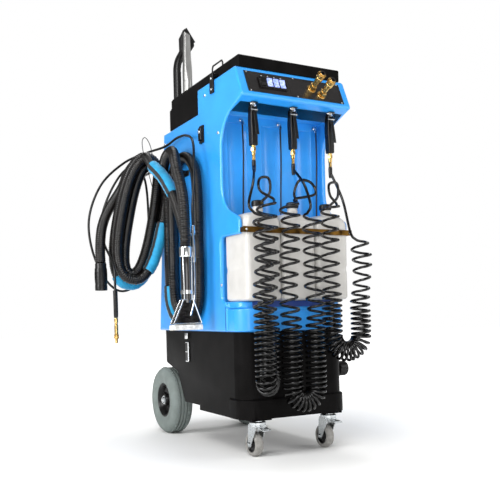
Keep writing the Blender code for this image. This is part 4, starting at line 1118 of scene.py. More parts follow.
class MakeSolutionHose(bpy.types.Operator):
    """Make the thin solution hose with its brass plug and the rubber sleeve above it."""
    bl_idname = "extractor.solution_hose"
    bl_label = "Solution hose"

    def execute(self, context):
        path = solution_route()
        hose = add_cord("solution_line", RUBBER, path, 0.0045, 2)
        settle(hose, "machine", ("solution_hose",))
        end = path[-1]
        profile = [(0.0045, 0.0), (0.0062, -0.001), (0.007, -0.004), (0.007, -0.016), (0.0056, -0.018),
                   (0.0056, -0.026), (0.0068, -0.028), (0.0068, -0.06), (0.0085, -0.062), (0.0085, -0.066),
                   (0.0076, -0.067), (0.0085, -0.068), (0.0085, -0.074), (0.0052, -0.078),
                   (0.0052, -0.0895), (0.0036, -0.092), (0.0028, -0.0915), (0.0028, -0.08), (0.0, -0.08)]
        grip = ring_of_blocks(22, 0.0084, (0.001, 0.0012, 0.006), BRASS,
                              Matrix.Translation(end + Vector((0.0, 0.0, -0.071))))
        place = Matrix.Translation(end - Vector((0.0, 0.0, 0.0003)))
        plug = put("solution_plug", BRASS, lathe(profile, 28, place), grip, nodes=("hose_plug",))
        guard = tube(path[-8:], [0.0082] * 7 + [0.0074], 16)
        sleeve = put("plug_guard", NYLON, guard, slot="black_rubber")
        return {"FINISHED"}


class MakeCoilHoses(bpy.types.Operator):
    """Make the three coiled chemical hoses from the jug caps to the guns."""
    bl_idname = "extractor.coil_hoses"
    bl_label = "Coiled hoses"

    def execute(self, context):
        diameter = context.scene.extractor.coil.tube_diameter
        for number in range(3):
            path = coil_route(number)
            label = number + 1
            hose = add_cord(f"chemical_hose_{label}", COIL, path, diameter / 2, 2)
            settle(hose, "machine", (f"coil_hose_{label}", f"hose_whip_{label}"))
            gun_end = path[-1]
            guard = tube([gun_end + Vector((0.0, 0.0, 0.002)), gun_end + Vector((0.0, 0.0, -0.004)),
                          gun_end + Vector((0.0, -0.0005, -0.028)),
                          gun_end + Vector((0.0, -0.001, -0.034))], [0.006, 0.0068, 0.0062, 0.005], 14)
            put(f"whip_guard_{label}", NYLON, guard, slot="black_rubber")
        return {"FINISHED"}


class MakeShell(bpy.types.Operator):
    """Make the blue moulded body with rounded edges, its small screws, the parts moulded into it, and the
    dark pieces of painted shade at the gun openings and under the jugs.
    """
    bl_idname = "extractor.shell"
    bl_label = "Body"

    def execute(self, context):
        radius = context.scene.extractor.shell.edge_radius

        def outside(p):
            x, y = p.x - MID_X, p.y - MID_Y
            if abs(x) > HALF_W - 0.002:
                return True
            if abs(x) < 0.188 and y > -0.36 and p.z > 1.12:
                return False
            return y < BACK_WALL_Y - 0.02 and p.z > 0.4

        body = node_shape("body_shell")
        round_edges(body, radius, 3, 0.35, outside)
        put("body_moulding", BLUE, body, nodes=("body_shell",), smooth=35)
        self.make_painted_slot_shade()
        self.make_fastenings()
        self.make_ribs()
        return {"FINISHED"}

    def make_painted_slot_shade(self):
        """Thin black sheets under the head, where the guns' openings are: painted shade standing in for
        their dark inside.
        """
        shade_sheets = []
        for x in GUN_X:
            outline = arc((0.0, 0.0), 0.0165, 200, -20, 14) + [(0.01, -0.024), (-0.01, -0.024)]
            place = moved(x, GUN_Y + 0.004, 1.1296)
            # painted shade: a black sheet in place of the opening's dark inside
            shade_sheets.append(prism(outline, 0.0016, 0.0, 1, place))
        put("gun_slot_painted_shade", NYLON, *shade_sheets)

    def make_fastenings(self):
        places = ((-0.205, 1.06), (-0.205, 0.56), (0.255, 1.12), (-0.11, 1.208))
        sides = [screws([at(side * (HALF_W + 0.0004), y, z) for y, z in places], 0.0055, 0.0024,
                        (side, 0, 0)) for side in (-1, 1)]
        put("body_screws", ZINC, *sides)
        bracket = slab(at(-HALF_W - 0.0125, -0.094, 1.06), at(-HALF_W + 0.0005, -0.072, 1.104), 0.003, 3)
        step = slab(at(-HALF_W - 0.006, -0.099, 1.052), at(-HALF_W + 0.0005, -0.067, 1.112), 0.002, 2)
        put("side_bracket", NYLON, bracket, step)
        put("side_bracket_screw", ZINC,
            screws([at(-HALF_W - 0.013, -0.083, 1.089)], 0.0062, 0.0026, (-1, 0, 0)))

    def make_ribs(self):
        """Shallow moulded panels on the blue skirt, and a strip of painted shadow, in darker blue, under
        the jugs.
        """
        panels = []
        for x in (-0.105, 0.0, 0.105):
            panels.append(slab(at(x - 0.042, -0.3345, 0.418), at(x + 0.042, -0.33, 0.47), 0.0016, 2))
        put("skirt_panels", BLUE, *panels)
        # painted shadow: a thin darker blue strip where the jugs shade the shelf edge
        band = slab(at(-0.158, -0.3225, 0.4835), at(0.158, -0.3195, 0.503), 0.001, 1)
        put("shelf_painted_shadow", PAINTED_SHADOW_BLUE, band)


class MakeBase(bpy.types.Operator):
    """Make the black base, its over-centre latches, the axle and the drain valve."""
    bl_idname = "extractor.base"
    bl_label = "Base"

    def execute(self, context):
        base = node_shape("base_tank")
        round_edges(base, 0.003, 2, 0.6, lambda p: 0.15 < p.z < 0.2 and p.y < -0.2)
        put("base_moulding", BLACK, base, nodes=("base_tank",), smooth=35)
        for side, label in ((-1, "left"), (1, "right")):
            self.make_latch(side, label)
        self.make_drain()
        self.make_axle()
        return {"FINISHED"}

    def make_latch(self, side, label):
        node = f"base_latch_{label}"
        low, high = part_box(node)
        face = low.x if side < 0 else high.x
        inner = high.x if side < 0 else low.x
        plate = slab((min(face, inner), low.y, low.z), (max(face, inner), high.y, high.z), 0.0026, 3)
        put(f"latch_plate_{label}", CHROME, plate, body=node, nodes=(node,))
        span = sorted((face + side * 0.0009, face - side * 0.003))
        middle_z = (low.z + high.z) / 2
        pads = [slab((span[0], low.y + 0.003, foot), (span[1], high.y - 0.003, top), 0.0012, 2) for foot,
                top in ((low.z + 0.004, middle_z - 0.0012), (middle_z + 0.0012, high.z - 0.004))]
        put(f"latch_pad_{label}", NYLON, *pads, body=node)
        middle_y = (low.y + high.y) / 2
        hook_x = side * (HALF_W - 0.0035) + MID_X
        hook = slab((min(hook_x, hook_x + side * 0.006), middle_y - 0.011, 0.376),
                    (max(hook_x, hook_x + side * 0.006), middle_y + 0.011, 0.398), 0.0018, 2)
        put(f"latch_keeper_{label}", CHROME, hook)

    def make_drain(self):
        low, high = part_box("drain_valve")
        centre = (low + high) / 2
        place = Matrix.Translation((low.x, centre.y, centre.z)) @ ALONG_X
        length = high.x - low.x
        profile = [(0.0, length), (0.019, length), (0.0232, length - 0.003), (0.0245, length - 0.006),
                   (0.0245, 0.024), (0.0225, 0.0215), (0.016, 0.0195), (0.016, 0.002), (0.018, 0.0),
                   (0.0, 0.0)]
        ribs = ring_of_blocks(20, 0.0244, (0.003, 0.0034, 0.027), NYLON,
                              place @ Matrix.Translation((0.0, 0.0, 0.0375)))
        nut = lathe([(0.0, 0.003), (0.0215, 0.003), (0.0225, 0.0), (0.0, 0.0)], 6,
                    Matrix.Translation((low.x - 0.0002, centre.y, centre.z)) @ ALONG_X)
        mark = lathe([(0.0, length + 0.0008), (0.0085, length + 0.0006), (0.01, length - 0.001),
                      (0.0, length - 0.001)], 24, place)
        put("drain_knob", NYLON, lathe(profile, 32, place), ribs, mark, body="drain_valve",
            nodes=("drain_valve",))
        put("drain_nut", BRASS, nut)

    def make_axle(self):
        low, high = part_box("rear_axle")
        centre = (low + high) / 2
        place = Matrix.Translation((low.x, centre.y, centre.z)) @ ALONG_X
        length = high.x - low.x
        profile = [(0.0, length), (0.0068, length), (0.008, length - 0.0012), (0.008, 0.0012),
                   (0.0068, 0.0), (0.0, 0.0)]
        put("axle_bar", ZINC, lathe(profile, 28, place), nodes=("rear_axle",))


class MakeTop(bpy.types.Operator):
    """Make the lid with its bail and latch, and the rear cover with its tool shelf."""
    bl_idname = "extractor.top"
    bl_label = "Lid and cover"

    def execute(self, context):
        lid = node_shape("lid")
        round_edges(lid, 0.0035, 2, 0.6, lambda p: p.z > LID_TOP_Z - 0.025 and abs(p.x - MID_X) < 0.191)
        put("lid_moulding", BLACK, lid, body="lid", nodes=("lid",), smooth=35)
        self.make_lid_details()
        cover = node_shape("rear_cover")
        round_edges(cover, 0.004, 2, 0.6, lambda p: p.y > 0.2 and p.z > 1.165)
        put("cover_moulding", BLACK, cover, nodes=("rear_cover",), smooth=35)
        bail = node_shape("lid_bail")
        put("bail_loop", NYLON, bail, body="lid_bail", nodes=("lid_bail",), smooth=60)
        return {"FINISHED"}

    def make_lid_details(self):
        ledge = slab(at(-0.165, -0.296, 1.2815), at(0.165, 0.18, 1.2838), 0.002, 3)
        put("lid_raised_field", BLACK, ledge, body="lid")
        low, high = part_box("lid_latch")
        hook = node_shape("lid_latch")
        round_edges(hook, 0.0012, 2, 0.6)
        put("latch_strap", NYLON, hook, body="lid_latch", nodes=("lid_latch",))
        places = [(low.x - 0.0003, (low.y + high.y) / 2, z) for z in (low.z + 0.012, high.z - 0.016)]
        put("latch_screws", ZINC, screws(places, 0.0042, 0.0018, (-1, 0, 0)), body="lid_latch")
        pins = []
        for y in (-0.22, 0.12):
            pins.append(lathe([(0.0, 0.032), (0.0034, 0.032), (0.0034, -0.032), (0.0, -0.032)], 14,
                              moved(0.2075, y, 1.251) @ ALONG_Y))
        put("hinge_pins", ZINC, *pins, body="lid")


class MakePanel(bpy.types.Operator):
    """Make the sloping control plate, its rockers, lamps, screws and quick couplers."""
    bl_idname = "extractor.panel"
    bl_label = "Control panel"

    def execute(self, context):
        plate = node_shape("control_panel")
        put("panel_plate", PLATE, plate, nodes=("control_panel",), smooth=30)
        self.make_border()
        for i in range(4):
            self.make_rocker(i + 1)
        for number, (x, up) in enumerate(((0.062, 0.002), (0.094, -0.019)), 1):
            self.make_coupler(number, x, up)
        return {"FINISHED"}

    def make_border(self):
        strips = [((-0.174, -0.003, 0.0335), (0.174, -0.002, 0.035)),
                  ((-0.174, -0.003, -0.035), (0.174, -0.002, -0.0335)),
                  ((-0.1745, -0.003, -0.035), (-0.173, -0.002, 0.035)),
                  ((0.173, -0.003, -0.035), (0.1745, -0.002, 0.035)),
                  ((-0.0235, -0.003, -0.0335), (-0.0225, -0.002, 0.0335))]
        border = [slab(low, high, 0.0004, 1, PANEL) for low, high in strips]
        put("panel_border", NYLON, *border)
        facing = PANEL.to_3x3() @ Vector((0.0, -1.0, 0.0))
        places = [PANEL @ Vector((x, -0.0027, z)) for x in (-0.172, 0.0, 0.172) for z in (-0.0372, 0.0372)]
        put("panel_screws", ZINC, screws(places, 0.0028, 0.0012, facing))
        frame_bars = [((-0.1365, -0.0078, 0.0175), (-0.0345, -0.006, 0.0215)),
                      ((-0.1365, -0.0078, -0.0215), (-0.0345, -0.006, -0.0175)),
                      ((-0.1365, -0.0078, -0.021), (-0.133, -0.006, 0.021)),
                      ((-0.038, -0.0078, -0.021), (-0.0345, -0.006, 0.021))]
        bars = [slab(low, high, 0.0008, 2, PANEL) for low, high in frame_bars]
        put("bezel_frame", NYLON, *bars)
        lamps = []
        for i in range(4):
            lamps.append(lathe([(0.0, 0.0016), (0.0014, 0.0012), (0.002, 0.0), (0.0, 0.0)], 14,
                               PANEL @ Matrix.Translation((-0.1205 + 0.0235 * i, -0.0026, 0.027))
                               @ OUT_OF_PANEL))
        put("panel_lamps", LENS, *lamps)

    def make_rocker(self, number):
        node = f"rocker_{number}"
        shape = node_shape(node)
        round_edges(shape, 0.0009, 2, 0.3)
        look, slot = (NYLON, "black_plastic") if number == 1 else (ROCKER, "blue_rocker")
        put(f"rocker_key_{number}", look, shape, body=node, nodes=(node,), slot=slot, smooth=40)

    def make_coupler(self, number, x, up):
        place = PANEL @ Matrix.Translation((x, 0.0, up)) @ OUT_OF_PANEL
        node = f"coupler_sleeve_{number}"
        sleeve = node_shape(node)
        round_edges(sleeve, 0.0005, 1, 0.4)
        ring = ring_of_blocks(30, 0.0134, (0.001, 0.0011, 0.008), BRASS,
                              place @ Matrix.Translation((0.0, 0.0, 0.0705)))
        put(f"coupler_ring_{number}", BRASS, sleeve, ring, body=node, nodes=(node,))
        hexagon = lathe([(0.009, 0.024), (0.012, 0.023), (0.0125, 0.021), (0.0125, 0.011), (0.012, 0.009),
                         (0.009, 0.008)], 6, place)
        flange = lathe([(0.0088, 0.0075), (0.015, 0.007), (0.0158, 0.0055), (0.0158, 0.002),
                        (0.0088, 0.0015)], 32, place)
        body = lathe([(0.006, 0.08), (0.0094, 0.0796), (0.01, 0.078), (0.01, 0.0765), (0.0096, 0.076),
                      (0.0096, 0.03), (0.0087, 0.029), (0.0087, 0.001), (0.0056, 0.001), (0.0056, 0.079)],
                     32, place)
        put(f"coupler_body_{number}", BRASS, hexagon, flange, body)


class MakeJugs(bpy.types.Operator):
    """Make the three chemical jugs, their ribbed caps, the bronze rail and the feed tubes."""
    bl_idname = "extractor.jugs"
    bl_label = "Jugs"

    def execute(self, context):
        for number in (1, 2, 3):
            self.make_jug(number)
            self.make_cap(number)
            self.make_feed(number)
        rail = node_shape("jug_rail")
        round_edges(rail, 0.0009, 2, 0.6)
        put("rail_strip", BRONZE, rail, nodes=("jug_rail",))
        low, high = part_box("jug_rail")
        places = [(x, low.y - 0.0003, (low.z + high.z) / 2) for x in (low.x + 0.01, high.x - 0.01)]
        put("rail_screws", ZINC, screws(places, 0.0042, 0.0018, (0, -1, 0)))
        return {"FINISHED"}

    def make_jug(self, number):
        node = f"jug_{number}"
        low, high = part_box(node)
        shoulder = 0.785
        middle = (low + high) / 2
        half_x, half_y = (high.x - low.x) / 2, (high.y - low.y) / 2

        def ring(z, inset, squareness):
            points = []
            for i in range(40):
                a = 2 * math.pi * (i + 0.5) / 40
                across, back = squared(a, half_x - inset, half_y - inset, squareness)
                points.append((middle.x + across, middle.y + back, z))
            return points

        levels = [(low.z, 0.01, 7), (low.z + 0.003, 0.003, 8), (low.z + 0.01, 0.0, 9),
                  (low.z + 0.09, 0.0004, 9), (low.z + 0.1, 0.0022, 9), (low.z + 0.106, 0.0022, 9),
                  (low.z + 0.116, 0.0004, 9), (0.735, 0.0, 9), (0.757, 0.0006, 8), (0.77, 0.0045, 7),
                  (0.779, 0.012, 6), (shoulder, 0.026, 4), (shoulder + 0.002, 0.044, 3)]
        bm = bmesh.new()
        rings = [[bm.verts.new(p) for p in ring(*level)] for level in levels]
        for lower, upper in zip(rings, rings[1:]):
            strip(bm, lower, upper)
        bm.faces.new(rings[0][::-1])
        bm.faces.new(rings[-1])
        bmesh.ops.recalc_face_normals(bm, faces=bm.faces)
        cap_place = moved((number - 2) * JUG_PITCH, CAP_Y, 0.0)
        neck = lathe([(0.015, CAP_Z - 0.0005), (0.0165, CAP_Z - 0.0012), (0.0165, 0.797), (0.018, 0.796),
                      (0.018, 0.793), (0.0165, 0.792), (0.0165, 0.788), (0.0205, 0.783), (0.012, 0.78)], 32,
                     cap_place)
        put(f"jug_bottle_{number}", MILKY, bm, neck, nodes=(node,), smooth=50)

    def make_cap(self, number):
        node = f"jug_cap_{number}"
        low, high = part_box(node)
        middle = (low + high) / 2
        place = Matrix.Translation((middle.x, middle.y, low.z))
        profile = [(0.0, 0.0178), (0.012, 0.0178), (0.0128, 0.019), (0.016, 0.019), (0.0188, 0.0176),
                   (0.02, 0.015), (0.02, 0.0008), (0.0194, 0.0), (0.0, 0.0)]
        ribs = ring_of_blocks(36, 0.0199, (0.0011, 0.0017, 0.0125), NYLON,
                              place @ Matrix.Translation((0.0, 0.0, 0.0078)))
        put(f"cap_{number}", NYLON, lathe(profile, 36, place), ribs, body=node, nodes=(node,))
        spigot = lathe([(0.0, 0.011), (0.0042, 0.011), (0.005, 0.009), (0.005, -0.008), (0.0, -0.008)], 20,
                       Matrix.Translation((middle.x, middle.y - 0.0215, low.z + 0.0105)) @ ALONG_Y)
        put(f"cap_spigot_{number}", BRASS, spigot)

    def make_feed(self, number):
        node = f"supply_line_{number}"
        x = (number - 2) * 0.147 + 0.03
        wall = BACK_WALL_Y
        route = [at(x, wall - 0.015, 1.108), at(x + 0.003, wall - 0.0125, 1.0),
                 at(x + 0.001, wall - 0.0095, 0.88), at(x, wall - 0.0085, 0.812),
                 at(x - 0.002, wall - 0.0075, 0.79)]
        line = tube(smooth_route(route, 0.012), 0.0026, 10)
        put(f"feed_tube_{number}", RUBBER, line, nodes=(node,))
        elbow = tube(smooth_route([at(x, wall + 0.001, 1.114), at(x, wall - 0.01, 1.114),
                at(x, wall - 0.015, 1.11), at(x, wall - 0.0152, 1.096)], 0.003), 0.0048, 14)
        nut = lathe([(0.0, 0.004), (0.0075, 0.003), (0.008, -0.003), (0.0, -0.004)], 6,
                    moved(x, wall - 0.0045, 1.114) @ ALONG_Y)
        collar = lathe([(0.0, 0.005), (0.0062, 0.004), (0.0062, -0.004), (0.0, -0.005)], 20,
                       moved(x, wall - 0.0152, 1.1))
        put(f"feed_elbow_{number}", CHROME, elbow, nut, collar)


class MakeGuns(bpy.types.Operator):
    """Make the three spray guns with their triggers, brass unions and chrome nozzles."""
    bl_idname = "extractor.guns"
    bl_label = "Spray guns"

    def execute(self, context):
        for number, x in enumerate(GUN_X, 1):
            self.make_gun(number, x)
        return {"FINISHED"}

    def make_gun(self, number, x):
        node = f"spray_gun_{number}"
        z0 = GUN_FOOT_Z
        back = [(0.012, 0.0), (0.0135, 0.03), (0.015, 0.06), (0.016, 0.085), (0.0145, 0.1), (0.013, 0.112),
                (0.009, 0.124), (0.006, 0.131)]
        front = [(-0.008, 0.131), (-0.0105, 0.124), (-0.0112, 0.112), (-0.0102, 0.09), (-0.0098, 0.07),
                 (-0.011, 0.055), (-0.0118, 0.04), (-0.0128, 0.024), (-0.012, 0.0)]
        place = moved(x, GUN_Y, z0) @ SIDE_VIEW
        grip = prism(back + front, 0.0225, 0.0042, 4, place)
        guard = tube(smooth_route([at(x, GUN_Y - 0.01, z0 + 0.118), at(x, GUN_Y - 0.018, z0 + 0.117),
                at(x, GUN_Y - 0.024, z0 + 0.112)], 0.003), 0.0035, 10)
        ribs = [slab(at(x - 0.0122, GUN_Y - 0.004, z0 + 0.012 + 0.008 * i),
                     at(x + 0.0122, GUN_Y + 0.009, z0 + 0.015 + 0.008 * i), 0.0006, 1) for i in range(7)]
        put(f"gun_grip_{number}", NYLON, grip, guard, *ribs, nodes=(node,), smooth=50)
        nozzle = lathe([(0.0, 0.152), (0.005, 0.152), (0.0075, 0.15), (0.0075, 0.139), (0.0095, 0.138),
                        (0.01, 0.136), (0.01, 0.13), (0.0085, 0.128), (0.0, 0.128)], 24,
                       moved(x, GUN_Y, z0))
        collar = lathe([(0.0, 0.129), (0.0118, 0.1285), (0.0122, 0.127), (0.0122, 0.1215), (0.0, 0.1205)],
                       8, moved(x, GUN_Y - 0.0005, z0))
        put(f"gun_nozzle_{number}", CHROME, nozzle, collar)
        union = lathe([(0.0, 0.004), (0.0068, 0.003), (0.0068, -0.006), (0.0, -0.006)], 24,
                      moved(x, GUN_Y, z0))
        hexagon = lathe([(0.0, -0.004), (0.0082, -0.0045), (0.0088, -0.006), (0.0088, -0.016),
                         (0.0082, -0.0175), (0.0, -0.018)], 6, moved(x, GUN_Y, z0))
        tail = [(0.0, -0.016), (0.0064, -0.0165), (0.0064, -0.029)]
        for i in range(4):
            tail += [(0.0048, -0.03 - 0.0042 * i), (0.0057, -0.0325 - 0.0042 * i)]
        tail += [(0.0044, -0.0475), (0.0, -0.048)]
        put(f"gun_union_{number}", BRASS, union, hexagon, lathe(tail, 24, moved(x, GUN_Y, z0)))
        trigger = node_shape(f"trigger_{number}")
        round_edges(trigger, 0.0011, 2, 0.3)
        put(f"trigger_lever_{number}", NYLON, trigger, body=f"trigger_{number}",
            nodes=(f"trigger_{number}",))
        pin = lathe([(0.0, 0.0125), (0.0022, 0.0125), (0.0022, -0.0125), (0.0, -0.0125)], 14,
                    moved(x, GUN_Y - 0.0105, z0 + 0.1125) @ ALONG_X)
        put(f"trigger_pin_{number}", ZINC, pin)


class MakeWheels(bpy.types.Operator):
    """Make the rear wheels with grooved grey tyres and dished black rims."""
    bl_idname = "extractor.wheels"
    bl_label = "Rear wheels"

    def execute(self, context):
        for side, label in ((-1, "left"), (1, "right")):
            self.make_wheel(context, side, label)
        return {"FINISHED"}

    def make_wheel(self, context, side, label):
        blocks = context.scene.extractor.wheel.tread_blocks
        low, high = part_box(f"rear_tyre_{label}")
        centre = (low + high) / 2
        outer = (high.z - low.z) / 2
        half = (high.x - low.x) / 2
        place = Matrix.Translation(centre) @ ALONG_X
        tread = outer - 0.0035
        profile = [(outer - 0.03, half), (outer - 0.022, half - 0.001), (outer - 0.012, half - 0.005),
                   (outer - 0.006, half - 0.011), (tread, half - 0.018)]
        for middle in (0.013, 0.0, -0.013):
            profile += [(tread + 0.001, middle + 0.0028), (tread - 0.004, middle + 0.0018),
                        (tread - 0.004, middle - 0.0018), (tread + 0.001, middle - 0.0028)]
        profile += [(r, -z) for r, z in reversed(profile[:5])]
        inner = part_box(f"rear_rim_{label}")
        rim_r = (inner[1].z - inner[0].z) / 2
        profile += [(outer - 0.04, -half + 0.0015), (rim_r + 0.004, -half + 0.006),
                    (rim_r + 0.0004, -half + 0.009), (rim_r + 0.0004, half - 0.009),
                    (rim_r + 0.004, half - 0.006), (outer - 0.04, half - 0.0015)]
        tyre = lathe(profile, 72, place)
        lugs = []
        for row in (-1, 1):
            lugs.append(ring_of_blocks(blocks, outer - 0.0052, (0.01, 0.0085, 0.0065), TYRE,
                                       place @ Matrix.Rotation(row * math.pi / blocks / 2, 4, "Z")
                                       @ Matrix.Translation((0.0, 0.0, row * 0.0205))))
        body = f"rear_wheel_{label}"
        put(f"tyre_{label}", TYRE, tyre, *lugs, body=body, nodes=(f"rear_tyre_{label}",), smooth=35)
        self.make_rim(side, label, body, centre, half, rim_r)

    def make_rim(self, side, label, body, centre, half, rim_r):
        place = Matrix.Translation(centre) @ (ALONG_X if side > 0 else Matrix.Rotation(math.radians(-90), 4,
                                                                                      "Y"))
        lip = half - 0.009
        profile = [(rim_r, lip), (rim_r - 0.004, lip + 0.001), (rim_r - 0.008, lip - 0.002),
                   (rim_r - 0.012, lip - 0.01), (0.05, 0.014), (0.036, 0.0085), (0.026, 0.012),
                   (0.0225, 0.02), (0.0215, lip - 0.006), (0.0195, lip - 0.003), (0.0085, lip - 0.003),
                   (0.0085, -lip - 0.004), (0.0215, -lip - 0.004), (0.022, -0.008), (0.05, -0.008),
                   (rim_r - 0.008, -0.012), (rim_r - 0.005, -lip), (rim_r, -lip)]
        spokes = []
        for i in range(6):
            turn = place @ Matrix.Rotation(2 * math.pi * i / 6, 4, "Z")
            spokes.append(slab((0.022, -0.0035, 0.004), (rim_r - 0.01, 0.0035, 0.0165), 0.0022, 2, turn))
        put(f"rim_{label}", NYLON, lathe(profile, 48, place), *spokes, body=body,
            nodes=(f"rear_rim_{label}",))
        nut = lathe([(0.0, lip + 0.009), (0.0055, lip + 0.0085), (0.0075, lip + 0.006),
                     (0.012, lip + 0.0052), (0.013, lip + 0.003), (0.013, lip - 0.003), (0.0, lip - 0.003)],
                    6, place)
        washer = lathe([(0.0, lip + 0.0008), (0.0165, lip + 0.0004), (0.0165, lip - 0.0022),
                        (0.0, lip - 0.0022)], 32, place)
        put(f"axle_nut_{label}", ZINC, nut, washer)


class MakeCasters(bpy.types.Operator):
    """Make the front casters: zinc forks, grey treads on black discs, and brake pedals."""
    bl_idname = "extractor.casters"
    bl_label = "Casters"

    def execute(self, context):
        for label in ("left", "right"):
            self.make_caster(label)
        return {"FINISHED"}

    def make_caster(self, label):
        fork = node_shape(f"caster_fork_{label}")
        round_edges(fork, 0.0007, 2, 0.7)
        low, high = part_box(f"caster_wheel_{label}")
        centre = (low + high) / 2
        place = Matrix.Translation(centre) @ ALONG_X
        swivel = f"caster_swivel_{label}"
        nuts = []
        for side in (-1, 1):
            nuts.append(lathe([(0.0, 0.0045), (0.006, 0.004), (0.0072, 0.0025), (0.0072, -0.001),
                               (0.0, -0.001)], 6,
                              Matrix.Translation((centre.x + side * 0.0195, centre.y, centre.z))
                              @ Matrix.Rotation(side * math.radians(90), 4, "Y")))
        race = lathe([(0.018, 0.117), (0.024, 0.1165), (0.0268, 0.114), (0.0268, 0.106), (0.024, 0.103),
                      (0.012, 0.103), (0.012, 0.117)], 36, moved(centre.x - MID_X, -0.3, 0.0))
        put(f"fork_{label}", ZINC, fork, *nuts, race, body=swivel, nodes=(f"caster_fork_{label}",))
        radius = (high.z - low.z) / 2
        half = (high.x - low.x) / 2
        inner = radius - 0.0125
        tread = [(inner, half - 0.002), (radius - 0.008, half - 0.0004), (radius - 0.003, half - 0.002),
                 (radius, half - 0.0075), (radius, -half + 0.0075), (radius - 0.003, -half + 0.002),
                 (radius - 0.008, -half + 0.0004), (inner, -half + 0.002)]
        disc = [(inner + 0.0002, half - 0.0035), (inner - 0.002, half - 0.0025), (0.02, half - 0.007),
                (0.013, half - 0.006), (0.01, half - 0.0015), (0.0055, half - 0.0015),
                (0.0055, -half + 0.0015), (0.01, -half + 0.0015), (0.013, -half + 0.006),
                (0.02, -half + 0.007), (inner - 0.002, -half + 0.0025), (inner + 0.0002, -half + 0.0035)]
        body = f"caster_wheel_{label}"
        put(f"caster_tread_{label}", CASTER, lathe(tread, 56, place), body=body, nodes=(body,))
        put(f"caster_disc_{label}", NYLON, lathe(disc, 40, place), body=body)
        pedal = node_shape(f"caster_brake_{label}")
        round_edges(pedal, 0.0016, 2, 0.5)
        plow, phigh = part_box(f"caster_brake_{label}")
        grips = [slab((plow.x + 0.004, plow.y + 0.003 + 0.005 * i, phigh.z - 0.004),
                      (phigh.x - 0.004, plow.y + 0.005 + 0.005 * i, phigh.z - 0.0015), 0.0006,
                      1) for i in range(4)]
        brake = f"caster_brake_{label}"
        put(f"brake_pedal_{label}", ZINC, pedal, *grips, body=brake, nodes=(brake,))


